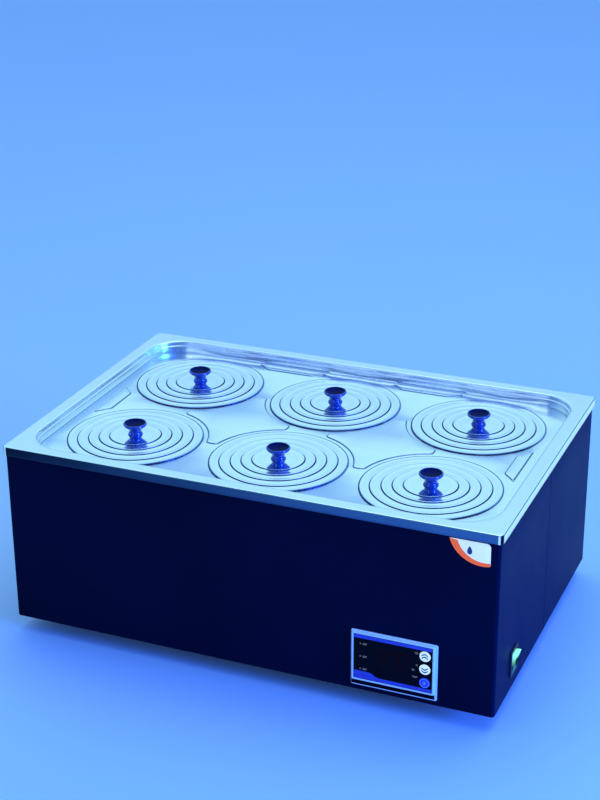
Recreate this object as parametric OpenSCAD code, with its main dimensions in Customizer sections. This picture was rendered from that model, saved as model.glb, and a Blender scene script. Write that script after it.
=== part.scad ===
// Six-place laboratory water bath: steel casing, stainless tank and rim, lift-out deck
// with six openings, each closed by four concentric rings and a lid with a knob.
// Millimetres, +Z up, origin on the table under the middle of the casing, front faces -Y.

/* [Overall] */
// Outer width of the stainless rim
rim_w = 600; // [598:0.5:602]
// Outer depth of the stainless rim
rim_d = 400; // [398:0.5:402]
// Height of the rim's top face above the table
rim_top = 243; // [242:0.5:244]
// Height of the rubber feet
foot_h = 20; // [18:0.5:21]
// How far the rim overhangs the casing on each side
overhang = 2.5; // [2:0.1:3]
// Thickness of the casing and rim sheet
sheet = 1.2; // [1:0.1:1.4]

/* [Rim] */
// Height of the rim's folded-down skirt
skirt_h = 11; // [10:0.5:12]
// Width of the flat flange around the recess
flange_w = 17.5; // [16.5:0.5:18]
// Depth from the rim's top face to the deck
deck_drop = 14.5; // [14:0.1:15]
// Outer corner radius of the rim
rim_r = 6; // [4:0.5:10]
// Corner radius of the recess
recess_r = 45; // [42:1:47]

/* [Stations] */
// Distance between stations across the width
pitch_x = 184.4; // [183:0.2:186]
// Distance between the front and the rear row
pitch_y = 178.4; // [177:0.2:180]
// Outer radii of the four rings and the lid
ring_r = [81, 68, 55, 42.6, 30.2];
// Thickness of the ring plates
ring_t = 1; // [0.8:0.1:1.2]
// Depth of the seat pressed into each ring
seat_s = 0.4; // [0.3:0.05:0.5]
// How far each ring overlaps the seat that carries it
overlap = 8; // [7:0.5:9]
// Height of the collar under each ring
collar_h = 2.4; // [2:0.1:2.8]
// Height of a lid knob
knob_h = 15; // [14:0.5:16]
// Radius of a knob's cap
knob_r = 14; // [13:0.5:15]

/* [Tank] */
// Inside width of the tank
tank_w = 538; // [536:1:538]
// Inside depth of the tank, front to rear
tank_d = 338; // [336:1:338]
// Height of the tank's underside above the table
tank_z = 112; // [110:1:114]
// Height of the perforated shelf above the table
shelf_z = 140; // [138:1:144]

/* [Front panel] */
// Left edge of the controller's flange
ctl_x = 132.3; // [120:0.5:140]
// Bottom edge of the controller's flange above the table
ctl_z = 26.6; // [26:0.2:27]
// Width of the controller's flange
ctl_w = 100.5; // [99:0.5:102]
// Height of the controller's flange
ctl_h = 70; // [69:0.5:71]
// Travel of the push buttons
key_travel = 0.6; // [0.4:0.1:0.7]

/* [Side switch] */
// Distance of the switch from the casing's middle, towards the front
sw_y = -127; // [-135:1:-115]
// Height of the switch above the table
sw_z = 53.2; // [50:0.5:58]
// Tilt of the rocker each side of its middle position
sw_tilt = 12; // [10:0.5:12]

/* [Hidden] */
$fn = 96;
cas_w = rim_w - 2 * overhang;      // casing outer width
cas_d = rim_d - 2 * overhang;      // casing outer depth
cas_r = 4;                         // casing's vertical bend radius
cas_top = rim_top - sheet;         // casing ends under the flange
seam_y = 4;                        // where the two casing halves meet
rec_w = rim_w - 2 * flange_w;      // recess width at the flange
rec_d = rim_d - 2 * flange_w;
step_z = rim_top - 5.5;            // small step in the recess wall
low_w = rec_w - 4;                 // recess width below the step
low_d = rec_d - 4;
deck_t = 1.2;
deck_top = rim_top - deck_drop;
deck_bot = deck_top - deck_t;
ledge_bot = deck_bot - sheet;
hole_r = 72;                       // openings in the deck
emboss_h = 1.2;                    // raised panels of the deck
emboss_r = 86;                     // they stay this far from each station
rise = ring_t - seat_s;            // height gained by each ring
tank_ow = tank_w + 2 * sheet;
tank_od = tank_d + 2 * sheet;
ins_w = 582;                       // outside of the insulation
ins_d = 382;
key_x = 219;
key_zs = [81.4, 65.1, 48.3];
key_r = 6.2;
front_y = -cas_d / 2;
side_x = cas_w / 2;
frame_y = front_y - 4;             // front face of the controller's frame
pivot_x = side_x - 3;              // rocker's pivot
heat_z = 126;
heat_r = 4.25;
heat_y = 90;
bend_x = 185;
drain_x = 200;
drain_z = 130;
inlet_x = -215;
inlet_z = 62;
foot_x = 236;
foot_y = 136;
base_screws_xy = [for (x = [-255, -85, 85, 255], y = [-187, 187]) [x, y]];
st = [[-1, -1], [0, -1], [1, -1], [-1, 1], [0, 1], [1, 1]];

// Rectangle with round corners, centred
module rrect(w, d, r) {
    square([w - 2 * r, d], center = true);
    square([w, d - 2 * r], center = true);
    for (x = [-1, 1], y = [-1, 1])
        translate([x * (w / 2 - r), y * (d / 2 - r)]) circle(r);
}

// Straight-walled tube of that outline, t thick, from z0 to z1
module rtube(w, d, r, t, z0, z1) {
    translate([0, 0, z0]) linear_extrude(z1 - z0) difference() {
        rrect(w, d, r);
        rrect(w - 2 * t, d - 2 * t, r - t);
    }
}

// Rod between two points on a line along an axis
module rod_x(x0, x1, y, z, r) translate([x0, y, z]) rotate([0, 90, 0]) cylinder(h = x1 - x0, r = r);
module rod_y(y0, y1, x, z, r) translate([x, y0, z]) rotate([-90, 0, 0]) cylinder(h = y1 - y0, r = r);

// Pan-head screw along +Z, its head below z = 0
module screw(r, l, hr, hh) {
    difference() {
        union() {
            translate([0, 0, -0.01]) cylinder(h = l + 0.01, r = r);
            translate([0, 0, -hh]) cylinder(h = hh, r1 = hr - 0.8, r2 = hr);
        }
        translate([-hr, -0.5, -hh - 1]) cube([2 * hr, 1, 1.8]);
        translate([-0.5, -hr, -hh - 1]) cube([1, 2 * hr, 1.8]);
    }
}

// Flange, skirt, stepped recess wall and the ledge that carries the deck
module rim_frame() color("lightsteelblue") {
    translate([0, 0, cas_top]) linear_extrude(sheet) difference() {
        rrect(rim_w, rim_d, rim_r);
        rrect(rec_w, rec_d, recess_r);
    }
    rtube(rim_w, rim_d, rim_r, sheet, rim_top - skirt_h, cas_top + 0.1);
    rtube(rec_w + 2 * sheet, rec_d + 2 * sheet, recess_r + sheet, sheet, step_z - sheet, cas_top + 0.1);
    translate([0, 0, step_z - sheet]) linear_extrude(sheet) difference() {
        rrect(rec_w + 2 * sheet, rec_d + 2 * sheet, recess_r + sheet);
        rrect(low_w, low_d, recess_r - 2);
    }
    rtube(low_w + 2 * sheet, low_d + 2 * sheet, recess_r - 2 + sheet, sheet, ledge_bot, step_z - 0.1);
    translate([0, 0, ledge_bot]) linear_extrude(sheet) difference() {
        rrect(low_w + 2 * sheet, low_d + 2 * sheet, recess_r - 2 + sheet);
        rrect(tank_w - 2, tank_d - 2, 23);
    }
}

// Inner tank, open at the top, with holes for heater, probe and drain
module tank() color("silver") difference() {
    union() {
        rtube(tank_ow, tank_od, 25, sheet, tank_z, ledge_bot);
        translate([0, 0, tank_z]) linear_extrude(sheet) rrect(tank_ow, tank_od, 25);
    }
    for (y = [-heat_y, heat_y]) rod_x(-tank_ow / 2 - 2, -tank_w / 2 + 2, y, heat_z, 6.5);
    rod_x(tank_w / 2 - 2, tank_ow / 2 + 2, 130, heat_z, 5.2);
    rod_y(tank_d / 2 - 2, tank_od / 2 + 2, drain_x, drain_z, 10.7);
}

// Raised panel between four stations
module star_panel(x) translate([x * pitch_x / 2, 0]) intersection() {
    difference() {
        square([pitch_x, pitch_y], center = true);
        for (i = [-1, 1], j = [-1, 1]) translate([i * pitch_x / 2, j * pitch_y / 2]) circle(emboss_r);
    }
    square([134, 150], center = true);
}

// Raised panel between two stations and the recess wall
module edge_panel(a, b, h) polygon([[-a, 0], [a, 0], [b, h], [-b, h]]);

// Deck plate with six openings and pressed panels
module deck_plate() color("powderblue") {
    difference() {
        translate([0, 0, deck_bot]) linear_extrude(deck_t) rrect(low_w - 1, low_d - 1, recess_r - 2.5);
        for (s = st) translate([s[0] * pitch_x, s[1] * pitch_y / 2, deck_bot - 1]) cylinder(h = deck_t + 2, r = hole_r);
    }
    translate([0, 0, deck_top - 0.1]) linear_extrude(emboss_h + 0.1) {
        for (x = [-1, 1]) star_panel(x);
        for (x = [-1, 1]) {
            translate([x * pitch_x / 2, 161]) edge_panel(31, 47, 14);
            translate([x * pitch_x / 2, -161]) mirror([0, 1]) edge_panel(31, 47, 14);
            translate([x * 250, 0]) rotate(-90 * x) edge_panel(26, 43, 16);
        }
    }
}

// Half of the wrap-around casing, with its folded-in bottom flange
module casing_half(s) {
    difference() {
        union() {
            rtube(cas_w, cas_d, cas_r, sheet, foot_h, cas_top);
            translate([0, 0, foot_h + 1.2]) linear_extrude(sheet) difference() {
                rrect(cas_w - 0.2, cas_d - 0.2, cas_r - 0.1);
                rrect(cas_w - 30, cas_d - 30, 2);
            }
        }
        translate([-400, s > 0 ? -400 + seam_y + 0.2 : seam_y - 0.2, 0]) cube([800, 400, 300]);
        for (p = base_screws_xy) translate([p[0], p[1], foot_h]) cylinder(h = 6, r = 2);
    }
}

// Front half: front panel and the front parts of both sides
module casing_front() color("midnightblue") difference() {
    casing_half(-1);
    translate([ctl_x + 3.8, front_y - 5, ctl_z + 9.4]) cube([92.7, 12, 57.3]);
    translate([side_x - 6, sw_y - 11.7, sw_z - 13.9]) cube([12, 23.4, 27.8]);
}

// Rear half, with the strips that lap behind the front half
module casing_rear() color("navy") difference() {
    union() {
        casing_half(1);
        for (x = [-1, 1]) translate([x * (side_x - 1.5 * sheet), seam_y + 2, (foot_h + 3 + cas_top) / 2])
            cube([sheet, 20, cas_top - foot_h - 5], center = true);
    }
    rod_y(cas_d / 2 - 6, cas_d / 2 + 6, drain_x, drain_z, 10.7);
    translate([inlet_x - 14.2, cas_d / 2 - 6, inlet_z - 10.2]) cube([28.4, 12, 20.4]);
    for (x = [-20, 20]) rod_y(cas_d / 2 - 6, cas_d / 2 + 6, inlet_x + x, inlet_z, 1.7);
}

// Bottom cover with vent slots
module base_plate() color("dimgray") difference() {
    translate([0, 0, foot_h]) linear_extrude(1.2) rrect(cas_w - 2 * sheet - 0.4, cas_d - 2 * sheet - 0.4, cas_r - sheet - 0.2);
    for (p = base_screws_xy) translate([p[0], p[1], foot_h - 2]) cylinder(h = 6, r = 2);
    for (x = [-foot_x, foot_x], y = [-foot_y, foot_y]) translate([x, y, foot_h - 2]) cylinder(h = 6, r = 2.6);
    for (x = [-90, 90], i = [-4 : 4]) translate([x, i * 14, foot_h])
        linear_extrude(6, center = true) { square([70, 4], center = true); for (e = [-35, 35]) translate([e, 0]) circle(2); }
}

// Four rubber feet with counterbored undersides
module feet() color("black") for (x = [-foot_x, foot_x], y = [-foot_y, foot_y]) translate([x, y, 0]) difference() {
    cylinder(h = foot_h, r1 = 15.5, r2 = 18);
    translate([0, 0, -1]) cylinder(h = 11, r = 7);
    cylinder(h = foot_h + 1, r = 2.6);
}

// Screws of the bottom cover, the feet and the power inlet
module casing_screws() color("gray") {
    for (p = base_screws_xy) translate([p[0], p[1], foot_h]) screw(1.9, 9, 4, 2.2);
    for (x = [-foot_x, foot_x], y = [-foot_y, foot_y]) translate([x, y, 10]) {
        screw(2.5, 18, 5, 2.6);
        translate([0, 0, foot_h - 8.8]) rotate(30) difference() { cylinder(h = 4, r = 4.6, $fn = 6); translate([0, 0, -1]) cylinder(h = 6, r = 2.55); }
    }
    for (x = [-20, 20]) translate([inlet_x + x, cas_d / 2 + 3, inlet_z]) rotate([90, 0, 0]) screw(1.6, 9, 3, 1.6);
}

// Glass-wool blanket around and under the tank
module insulation() color("khaki") difference() {
    union() {
        rtube(ins_w, ins_d, 30, 20, 100, 222);
        translate([0, 0, 100]) linear_extrude(tank_z - 100) rrect(ins_w, ins_d, 30);
    }
    for (y = [-heat_y, heat_y]) rod_x(-ins_w / 2 - 2, -ins_w / 2 + 22, y, heat_z, 15);
    rod_x(ins_w / 2 - 22, ins_w / 2 + 2, 130, heat_z, 12);
    rod_y(ins_d / 2 - 22, ins_d / 2 + 2, drain_x, drain_z, 12);
}

// Half ring of the heater tube, open towards -X
module heater_bend(x, y, r, a) translate([x, y, heat_z]) rotate(a) rotate_extrude(angle = 180) translate([r, 0]) circle(heat_r);

// Tubular heater: four legs joined by three bends, both ends through the left wall
module heater_element() color("gainsboro") {
    for (y = [-heat_y, heat_y]) rod_x(-284, bend_x, y, heat_z, heat_r);
    for (y = [-heat_y / 3, heat_y / 3]) rod_x(-bend_x, bend_x, y, heat_z, heat_r);
    for (s = [-1, 1]) heater_bend(bend_x, s * heat_y * 2 / 3, heat_y / 3, -90);
    heater_bend(-bend_x, 0, heat_y / 3, 90);
}

// Threaded glands that seal the heater's ends in the tank wall
module heater_glands() color("goldenrod") for (y = [-heat_y, heat_y]) difference() {
    union() {
        rod_x(-tank_ow / 2 - 9, -tank_w / 2 + 9, y, heat_z, 6.3);
        translate([-tank_w / 2, y, heat_z]) rotate([0, 90, 0]) cylinder(h = 6, r = 10, $fn = 6);
        translate([-tank_ow / 2 - 6, y, heat_z]) rotate([0, 90, 0]) cylinder(h = 6, r = 10, $fn = 6);
    }
    rod_x(-300, -250, y, heat_z, heat_r + 0.05);
}

// Temperature sensor in its sheath, with its gland on the right wall
module temperature_probe() color("silver") {
    rod_x(212, tank_ow / 2 + 14, 130, heat_z, 3);
    rod_x(tank_w / 2 - 4, tank_ow / 2 + 4, 130, heat_z, 5);
    translate([tank_w / 2 - 5, 130, heat_z]) rotate([0, 90, 0]) cylinder(h = 5, r = 8, $fn = 6);
    translate([tank_ow / 2, 130, heat_z]) rotate([0, 90, 0]) cylinder(h = 5, r = 8, $fn = 6);
}

// Perforated shelf on four legs, over the heater
module shelf() color("lightgray") {
    difference() {
        translate([0, 0, shelf_z - 1.2]) linear_extrude(1.2) rrect(516, 316, 16);
        for (i = [-5 : 5], j = [-3 : 3]) translate([i * 44, j * 40, shelf_z - 3]) cylinder(h = 6, r = 8);
    }
    for (x = [-242, 242], y = [-144, 144]) translate([x, y, tank_z + sheet]) cylinder(h = shelf_z - tank_z - sheet - 1.1, r = 5);
}

// Drain pipe from the tank to the rear panel, threaded outside
module drain_spout() color("goldenrod") difference() {
    union() {
        rod_y(tank_d / 2 - 6, 205.8, drain_x, drain_z, 10.5);
        translate([drain_x, cas_d / 2, drain_z]) rotate([-90, 0, 0]) cylinder(h = 2.5, r = 15, $fn = 6);
        translate([drain_x, tank_d / 2 - 4, drain_z]) rotate([-90, 0, 0]) cylinder(h = 4, r = 14);
        translate([drain_x, tank_od / 2, drain_z]) rotate([-90, 0, 0]) cylinder(h = 4, r = 11.6);
    }
    rod_y(tank_d / 2 - 10, 212, drain_x, drain_z, 7);
}

// Rubber plug in the drain's mouth, with a grip rim outside
module drain_plug() color("dimgray") translate([drain_x, 0, drain_z]) rotate([-90, 0, 0]) rotate_extrude() polygon([
    [0, 200.5], [5.8, 200.5], [6.7, 201.9], [6.7, 206], [9.6, 206], [9.6, 206.9], [8.4, 207.5], [9.2, 208.2], [8.6, 208.5], [0, 208.5]
]);

// Controller: flange and frame outside, body inside the casing
module controller_case() color("lightsteelblue") difference() {
    union() {
        translate([ctl_x, front_y - 1.5, ctl_z]) cube([ctl_w, 1.5, ctl_h]);
        translate([ctl_x + 1.5, frame_y, ctl_z + 7.6]) cube([96.1, 3, 60.9]);
        translate([ctl_x + 4.1, front_y - 1, ctl_z + 9.7]) cube([92.1, 61, 56.7]);
    }
    translate([ctl_x + 3.7, frame_y - 1, ctl_z + 9.8]) cube([91.7, 3.4, 56.5]);
    for (z = key_zs) rod_y(frame_y, frame_y + 10, key_x, z, 8);
    translate([ctl_x + 8, front_y + 3, ctl_z + 13]) cube([70, 54, 50]);
}

// Front window of the controller, with holes for the three buttons
module controller_window() color("black") difference() {
    translate([ctl_x + 3.8, frame_y + 0.4, ctl_z + 9.9]) cube([91.5, 2, 56.3]);
    for (z = key_zs) rod_y(frame_y - 1, frame_y + 4, key_x, z, key_r + 0.3);
}

// Push button at height z: cap, retaining collar and stem
module push_key(z) {
    rod_y(frame_y - 0.4, frame_y + 3, key_x, z, key_r);
    rod_y(frame_y + 2.4, frame_y + 3.4, key_x, z, 7.2);
    rod_y(frame_y + 3, frame_y + 9.2, key_x, z, 2);
}
module button_up() color("white") push_key(key_zs[0]);
module button_down() color("white") push_key(key_zs[1]);
module button_set() color("royalblue") push_key(key_zs[2]);

// Switch housing: bezel outside the right wall, box inside, pocket for the rocker
module switch_housing() color("black") difference() {
    union() {
        translate([side_x, sw_y, sw_z]) rotate([0, 90, 0]) linear_extrude(2) rrect(32, 26, 2);
        translate([side_x - 24, sw_y - 11.5, sw_z - 13.7]) cube([24.5, 23, 27.4]);
    }
    translate([side_x - 13, sw_y - 10.2, sw_z - 13.4]) cube([20, 20.4, 26.8]);
    rod_y(sw_y - 12, sw_y + 12, pivot_x, sw_z, 1.56);
}

// Rocker, its upper end out, on a pivot along Y
module switch_rocker() color("limegreen") translate([pivot_x, sw_y, sw_z]) {
    rotate([0, sw_tilt, 0]) rotate([90, 0, 0]) linear_extrude(19.6, center = true)
        polygon([[7.5, 11.6], [5.6, 5], [5.2, 0], [5.6, -5], [7.5, -11.6], [5.5, -11.8], [-3, -8], [-3, 8], [5.5, 11.8]]);
    rotate([90, 0, 0]) cylinder(h = 22.6, r = 1.5, center = true);
}

// Appliance inlet with three flat pins
module power_inlet() color("black") {
    difference() {
        union() {
            translate([inlet_x, cas_d / 2, inlet_z]) rotate([-90, 0, 0]) linear_extrude(3) { rrect(32, 24, 3); rrect(50, 12, 5.9); }
            translate([inlet_x - 14, cas_d / 2 - 24, inlet_z - 10]) cube([28, 24.5, 20]);
        }
        translate([inlet_x - 12, cas_d / 2 - 18, inlet_z - 8]) cube([24, 24, 16]);
        for (x = [-20, 20]) rod_y(cas_d / 2 - 1, cas_d / 2 + 4, inlet_x + x, inlet_z, 1.7);
    }
    for (p = [[-7, -2], [0, 2], [7, -2]]) translate([inlet_x + p[0] - 1, cas_d / 2 - 18.5, inlet_z + p[1] - 2]) cube([2, 15, 4]);
}

// Blank plate under the rim at the front
module badge() color("white") translate([241, front_y, 203]) rotate([90, 0, 0]) linear_extrude(0.6) intersection() {
    translate([23, 13.5]) rrect(46, 27, 3);
    translate([37, 37.7]) circle(38.3);
}

// Ring k (0 to 3) of the station at s: plate, pressed seat and locating collar
module ring(s, k) translate([s[0] * pitch_x, s[1] * pitch_y / 2, deck_top + k * rise]) color([0.72 - 0.03 * k, 0.85, 0.95])
    let (ro = ring_r[k], rs = ring_r[k + 1] + 0.4, ri = ring_r[k + 1] - overlap,
         rc = (k == 0 ? hole_r : ring_r[k] - overlap) - 0.5)
    rotate_extrude() polygon([
        [ri, -seat_s], [rs + 0.6, -seat_s], [rs + 0.6, 0], [rc - 1, 0], [rc - 1, -collar_h], [rc, -collar_h], [rc, 0],
        [ro, 0], [ro, ring_t], [rs, ring_t], [rs, ring_t - seat_s], [ri, ring_t - seat_s]
    ]);

// Lid of the station at s
module lid(s) translate([s[0] * pitch_x, s[1] * pitch_y / 2, deck_top + 4 * rise]) color("lightcyan")
    let (ro = ring_r[4], rc = ring_r[4] - overlap - 0.5)
    rotate_extrude() polygon([
        [2.2, 0], [rc - 1, 0], [rc - 1, -collar_h], [rc, -collar_h], [rc, 0], [ro, 0], [ro, ring_t], [2.2, ring_t]
    ]);

// Knob with its stud and nut through the lid
module knob(s) translate([s[0] * pitch_x, s[1] * pitch_y / 2, deck_top + 4 * rise + ring_t]) color("darkblue") {
    rotate_extrude() polygon([
        [0, 0], [8.6, 0], [8.8, 0.6], [8.5, 1.4], [7.8, 2.4], [7.5, 3.6], [7.6, 5.2], [8.4, 7], [10.2, 8.9], [12.4, 10.6],
        [knob_r - 0.4, knob_h - 3], [knob_r, knob_h - 1.8], [knob_r - 0.3, knob_h - 0.6], [knob_r - 1.1, knob_h],
        [knob_r - 2.2, knob_h - 0.4], [knob_r - 3.4, knob_h - 1.4], [6, knob_h - 2.4], [0, knob_h - 2.8]
    ]);
    translate([0, 0, -ring_t - 4.5]) cylinder(h = ring_t + 5, r = 2);
    translate([0, 0, -ring_t - 3.2]) cylinder(h = 3.2, r = 4, $fn = 6);
}

rim_frame();
tank();
deck_plate();
casing_front();
casing_rear();
base_plate();
feet();
casing_screws();
insulation();
heater_element();
heater_glands();
temperature_probe();
shelf();
drain_spout();
drain_plug();
controller_case();
controller_window();
button_up();
button_down();
button_set();
switch_housing();
switch_rocker();
power_inlet();
badge();
ring(st[0], 0);  // front_left_ring_1
ring(st[0], 1);  // front_left_ring_2
ring(st[0], 2);  // front_left_ring_3
ring(st[0], 3);  // front_left_ring_4
lid(st[0]);  // front_left_lid
knob(st[0]);  // front_left_knob
ring(st[1], 0);  // front_middle_ring_1
ring(st[1], 1);  // front_middle_ring_2
ring(st[1], 2);  // front_middle_ring_3
ring(st[1], 3);  // front_middle_ring_4
lid(st[1]);  // front_middle_lid
knob(st[1]);  // front_middle_knob
ring(st[2], 0);  // front_right_ring_1
ring(st[2], 1);  // front_right_ring_2
ring(st[2], 2);  // front_right_ring_3
ring(st[2], 3);  // front_right_ring_4
lid(st[2]);  // front_right_lid
knob(st[2]);  // front_right_knob
ring(st[3], 0);  // rear_left_ring_1
ring(st[3], 1);  // rear_left_ring_2
ring(st[3], 2);  // rear_left_ring_3
ring(st[3], 3);  // rear_left_ring_4
lid(st[3]);  // rear_left_lid
knob(st[3]);  // rear_left_knob
ring(st[4], 0);  // rear_middle_ring_1
ring(st[4], 1);  // rear_middle_ring_2
ring(st[4], 2);  // rear_middle_ring_3
ring(st[4], 3);  // rear_middle_ring_4
lid(st[4]);  // rear_middle_lid
knob(st[4]);  // rear_middle_knob
ring(st[5], 0);  // rear_right_ring_1
ring(st[5], 1);  // rear_right_ring_2
ring(st[5], 2);  // rear_right_ring_3
ring(st[5], 3);  // rear_right_ring_4
lid(st[5]);  // rear_right_lid
knob(st[5]);  // rear_right_knob
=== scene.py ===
import math
import bpy
import bmesh
from mathutils import Vector, Matrix
from mathutils.geometry import delaunay_2d_cdt


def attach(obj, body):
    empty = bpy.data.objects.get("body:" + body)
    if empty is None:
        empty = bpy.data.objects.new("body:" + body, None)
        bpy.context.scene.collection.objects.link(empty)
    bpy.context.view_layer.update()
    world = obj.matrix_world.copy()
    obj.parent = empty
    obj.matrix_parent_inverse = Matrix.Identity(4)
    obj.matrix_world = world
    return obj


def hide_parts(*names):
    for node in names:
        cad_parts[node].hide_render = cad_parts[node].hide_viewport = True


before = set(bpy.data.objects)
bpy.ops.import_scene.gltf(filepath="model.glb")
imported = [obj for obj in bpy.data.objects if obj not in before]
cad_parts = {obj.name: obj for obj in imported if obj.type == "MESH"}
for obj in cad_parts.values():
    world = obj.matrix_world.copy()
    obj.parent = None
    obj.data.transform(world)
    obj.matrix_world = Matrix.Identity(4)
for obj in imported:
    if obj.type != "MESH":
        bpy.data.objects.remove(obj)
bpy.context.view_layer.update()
S = 0.001          # the numbers below are millimetres in the CAD frame
TAU = math.tau
D2R = math.pi / 180


# ------------------------------------------------------------------ nodes
class Mat:
    """A node material with one Principled shader and small helpers to wire it."""

    def __init__(self, name, base=(0.5, 0.5, 0.5), rough=0.5, metal=0.0, **sockets):
        self.m = bpy.data.materials.new(name)
        self.m.use_nodes = True
        self.nt = self.m.node_tree
        self.nt.nodes.clear()
        self.out = self.nt.nodes.new("ShaderNodeOutputMaterial")
        self.b = self.nt.nodes.new("ShaderNodeBsdfPrincipled")
        self.nt.links.new(self.b.outputs[0], self.out.inputs[0])
        self.b.inputs["Base Color"].default_value = (*base, 1)
        self.b.inputs["Roughness"].default_value = rough
        self.b.inputs["Metallic"].default_value = metal
        for k, v in sockets.items():
            s = self.b.inputs[k.replace("_", " ")]
            s.default_value = (*v, 1) if isinstance(v, tuple) and len(v) == 3 and s.type == "RGBA" else v

    def n(self, kind, **props):
        x = self.nt.nodes.new(kind)
        for k, v in props.items():
            setattr(x, k, v)
        return x

    def link(self, a, b):
        self.nt.links.new(a, b)

    def coords(self, scale=(1, 1, 1), rot=(0, 0, 0), out="Object"):
        tc = self.n("ShaderNodeTexCoord")
        mp = self.n("ShaderNodeMapping")
        mp.inputs["Scale"].default_value = scale
        mp.inputs["Rotation"].default_value = rot
        self.link(tc.outputs[out], mp.inputs["Vector"])
        return mp.outputs[0]

    def noise(self, vec, scale=1.0, detail=3.0, rough=0.5, dist=0.0):
        x = self.n("ShaderNodeTexNoise")
        x.inputs["Scale"].default_value = scale
        x.inputs["Detail"].default_value = detail
        x.inputs["Roughness"].default_value = rough
        x.inputs["Distortion"].default_value = dist
        self.link(vec, x.inputs["Vector"])
        return x.outputs["Fac"]

    def ramp(self, fac, stops):
        x = self.n("ShaderNodeValToRGB")
        el = x.color_ramp.elements
        while len(el) > len(stops):
            el.remove(el[-1])
        while len(el) < len(stops):
            el.new(0.5)
        for e, (p, c) in zip(el, stops):
            e.position = p
            e.color = (*c, 1) if not isinstance(c, (int, float)) else (c, c, c, 1)
        self.link(fac, x.inputs[0])
        return x.outputs[0]

    def maprange(self, v, a, b, c, d):
        x = self.n("ShaderNodeMapRange")
        for k, val in zip(("From Min", "From Max", "To Min", "To Max"), (a, b, c, d)):
            x.inputs[k].default_value = val
        self.link(v, x.inputs["Value"])
        return x.outputs[0]

    def math(self, op, a, b=None):
        x = self.n("ShaderNodeMath", operation=op)
        for i, v in enumerate((a, b)):
            if v is None:
                continue
            if isinstance(v, (int, float)):
                x.inputs[i].default_value = v
            else:
                self.link(v, x.inputs[i])
        return x.outputs[0]

    def mix(self, fac, a, b):
        x = self.n("ShaderNodeMix", data_type="RGBA")
        for sock, v in ((x.inputs[0], fac), (x.inputs[6], a), (x.inputs[7], b)):
            if isinstance(v, (int, float)):
                sock.default_value = v
            elif isinstance(v, tuple):
                sock.default_value = (*v, 1)
            else:
                self.link(v, sock)
        return x.outputs[2]

    def base(self, v):
        self.link(v, self.b.inputs["Base Color"])

    def rough(self, v):
        self.link(v, self.b.inputs["Roughness"])

    def bump(self, height, strength, distance, prev=None):
        x = self.n("ShaderNodeBump")
        x.inputs["Strength"].default_value = strength
        x.inputs["Distance"].default_value = distance
        self.link(height, x.inputs["Height"])
        if prev is not None:
            self.link(prev, x.inputs["Normal"])
        self.link(x.outputs[0], self.b.inputs["Normal"])
        return x.outputs[0]

    def radius(self):
        """Distance from the object's own Z axis, and the height, as two values in metres."""
        tc = self.n("ShaderNodeTexCoord")
        sep = self.n("ShaderNodeSeparateXYZ")
        self.link(tc.outputs["Object"], sep.inputs[0])
        x2 = self.math("MULTIPLY", sep.outputs[0], sep.outputs[0])
        y2 = self.math("MULTIPLY", sep.outputs[1], sep.outputs[1])
        return self.math("SQRT", self.math("ADD", x2, y2)), sep.outputs[2]

    def comb(self, x, y, z):
        c = self.n("ShaderNodeCombineXYZ")
        for i, v in enumerate((x, y, z)):
            if isinstance(v, (int, float)):
                c.inputs[i].default_value = v
            else:
                self.link(v, c.inputs[i])
        return c.outputs[0]


def steel(name, tint=(0.66, 0.74, 0.80), rough=(0.24, 0.36), along="x", grain=1.0, aniso=0.4, contrast=1.0):
    """Satin stainless sheet: rolled grain along one axis, cloudy handling marks and a few fine scratches."""
    k = Mat(name, tint, 0.3, 1.0, Anisotropic=aniso)
    sc = {"x": (5, 700, 700), "y": (700, 5, 700), "z": (700, 700, 5)}[along]
    lines = k.noise(k.coords(sc), 1.0, 4, 0.6)
    sc2 = {"x": (14, 2600, 2600), "y": (2600, 14, 2600), "z": (2600, 2600, 14)}[along]
    hair = k.noise(k.coords(sc2), 1.0, 3, 0.7)
    cloud = k.noise(k.coords((5, 5, 5)), 1.0, 4, 0.5, 0.3)
    smear = k.noise(k.coords((26, 9, 20), rot=(0, 0, 0.5)), 1.0, 3, 0.5, 0.6)
    scratch = k.noise(k.coords((22, 1500, 90), rot=(0, 0, 0.35)), 1.0, 1, 0.5)
    both = k.math("ADD", k.math("MULTIPLY", lines, 0.5), k.math("MULTIPLY", hair, 0.5))
    c = 0.055 * contrast
    dark = tuple(v * (1 - c) for v in tint)
    lite = tuple(min(1, v * (1 + c)) for v in tint)
    k.base(k.mix(k.maprange(k.math("ADD", both, k.math("MULTIPLY", cloud, 0.9)), 0.65, 1.25, 0, 1), dark, lite))
    r = k.math("ADD", k.math("MULTIPLY", cloud, 0.6), k.math("MULTIPLY", smear, 0.4))
    r = k.math("ADD", k.maprange(r, 0.3, 0.7, rough[0], rough[1]), k.maprange(hair, 0.3, 0.7, -0.02, 0.02))
    k.rough(k.math("ADD", r, k.maprange(scratch, 0.72, 0.8, 0.0, 0.05)))
    h = k.bump(both, 0.12 * grain, 0.00005)
    k.bump(cloud, 0.035, 0.0022, h)
    return k.m


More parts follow.
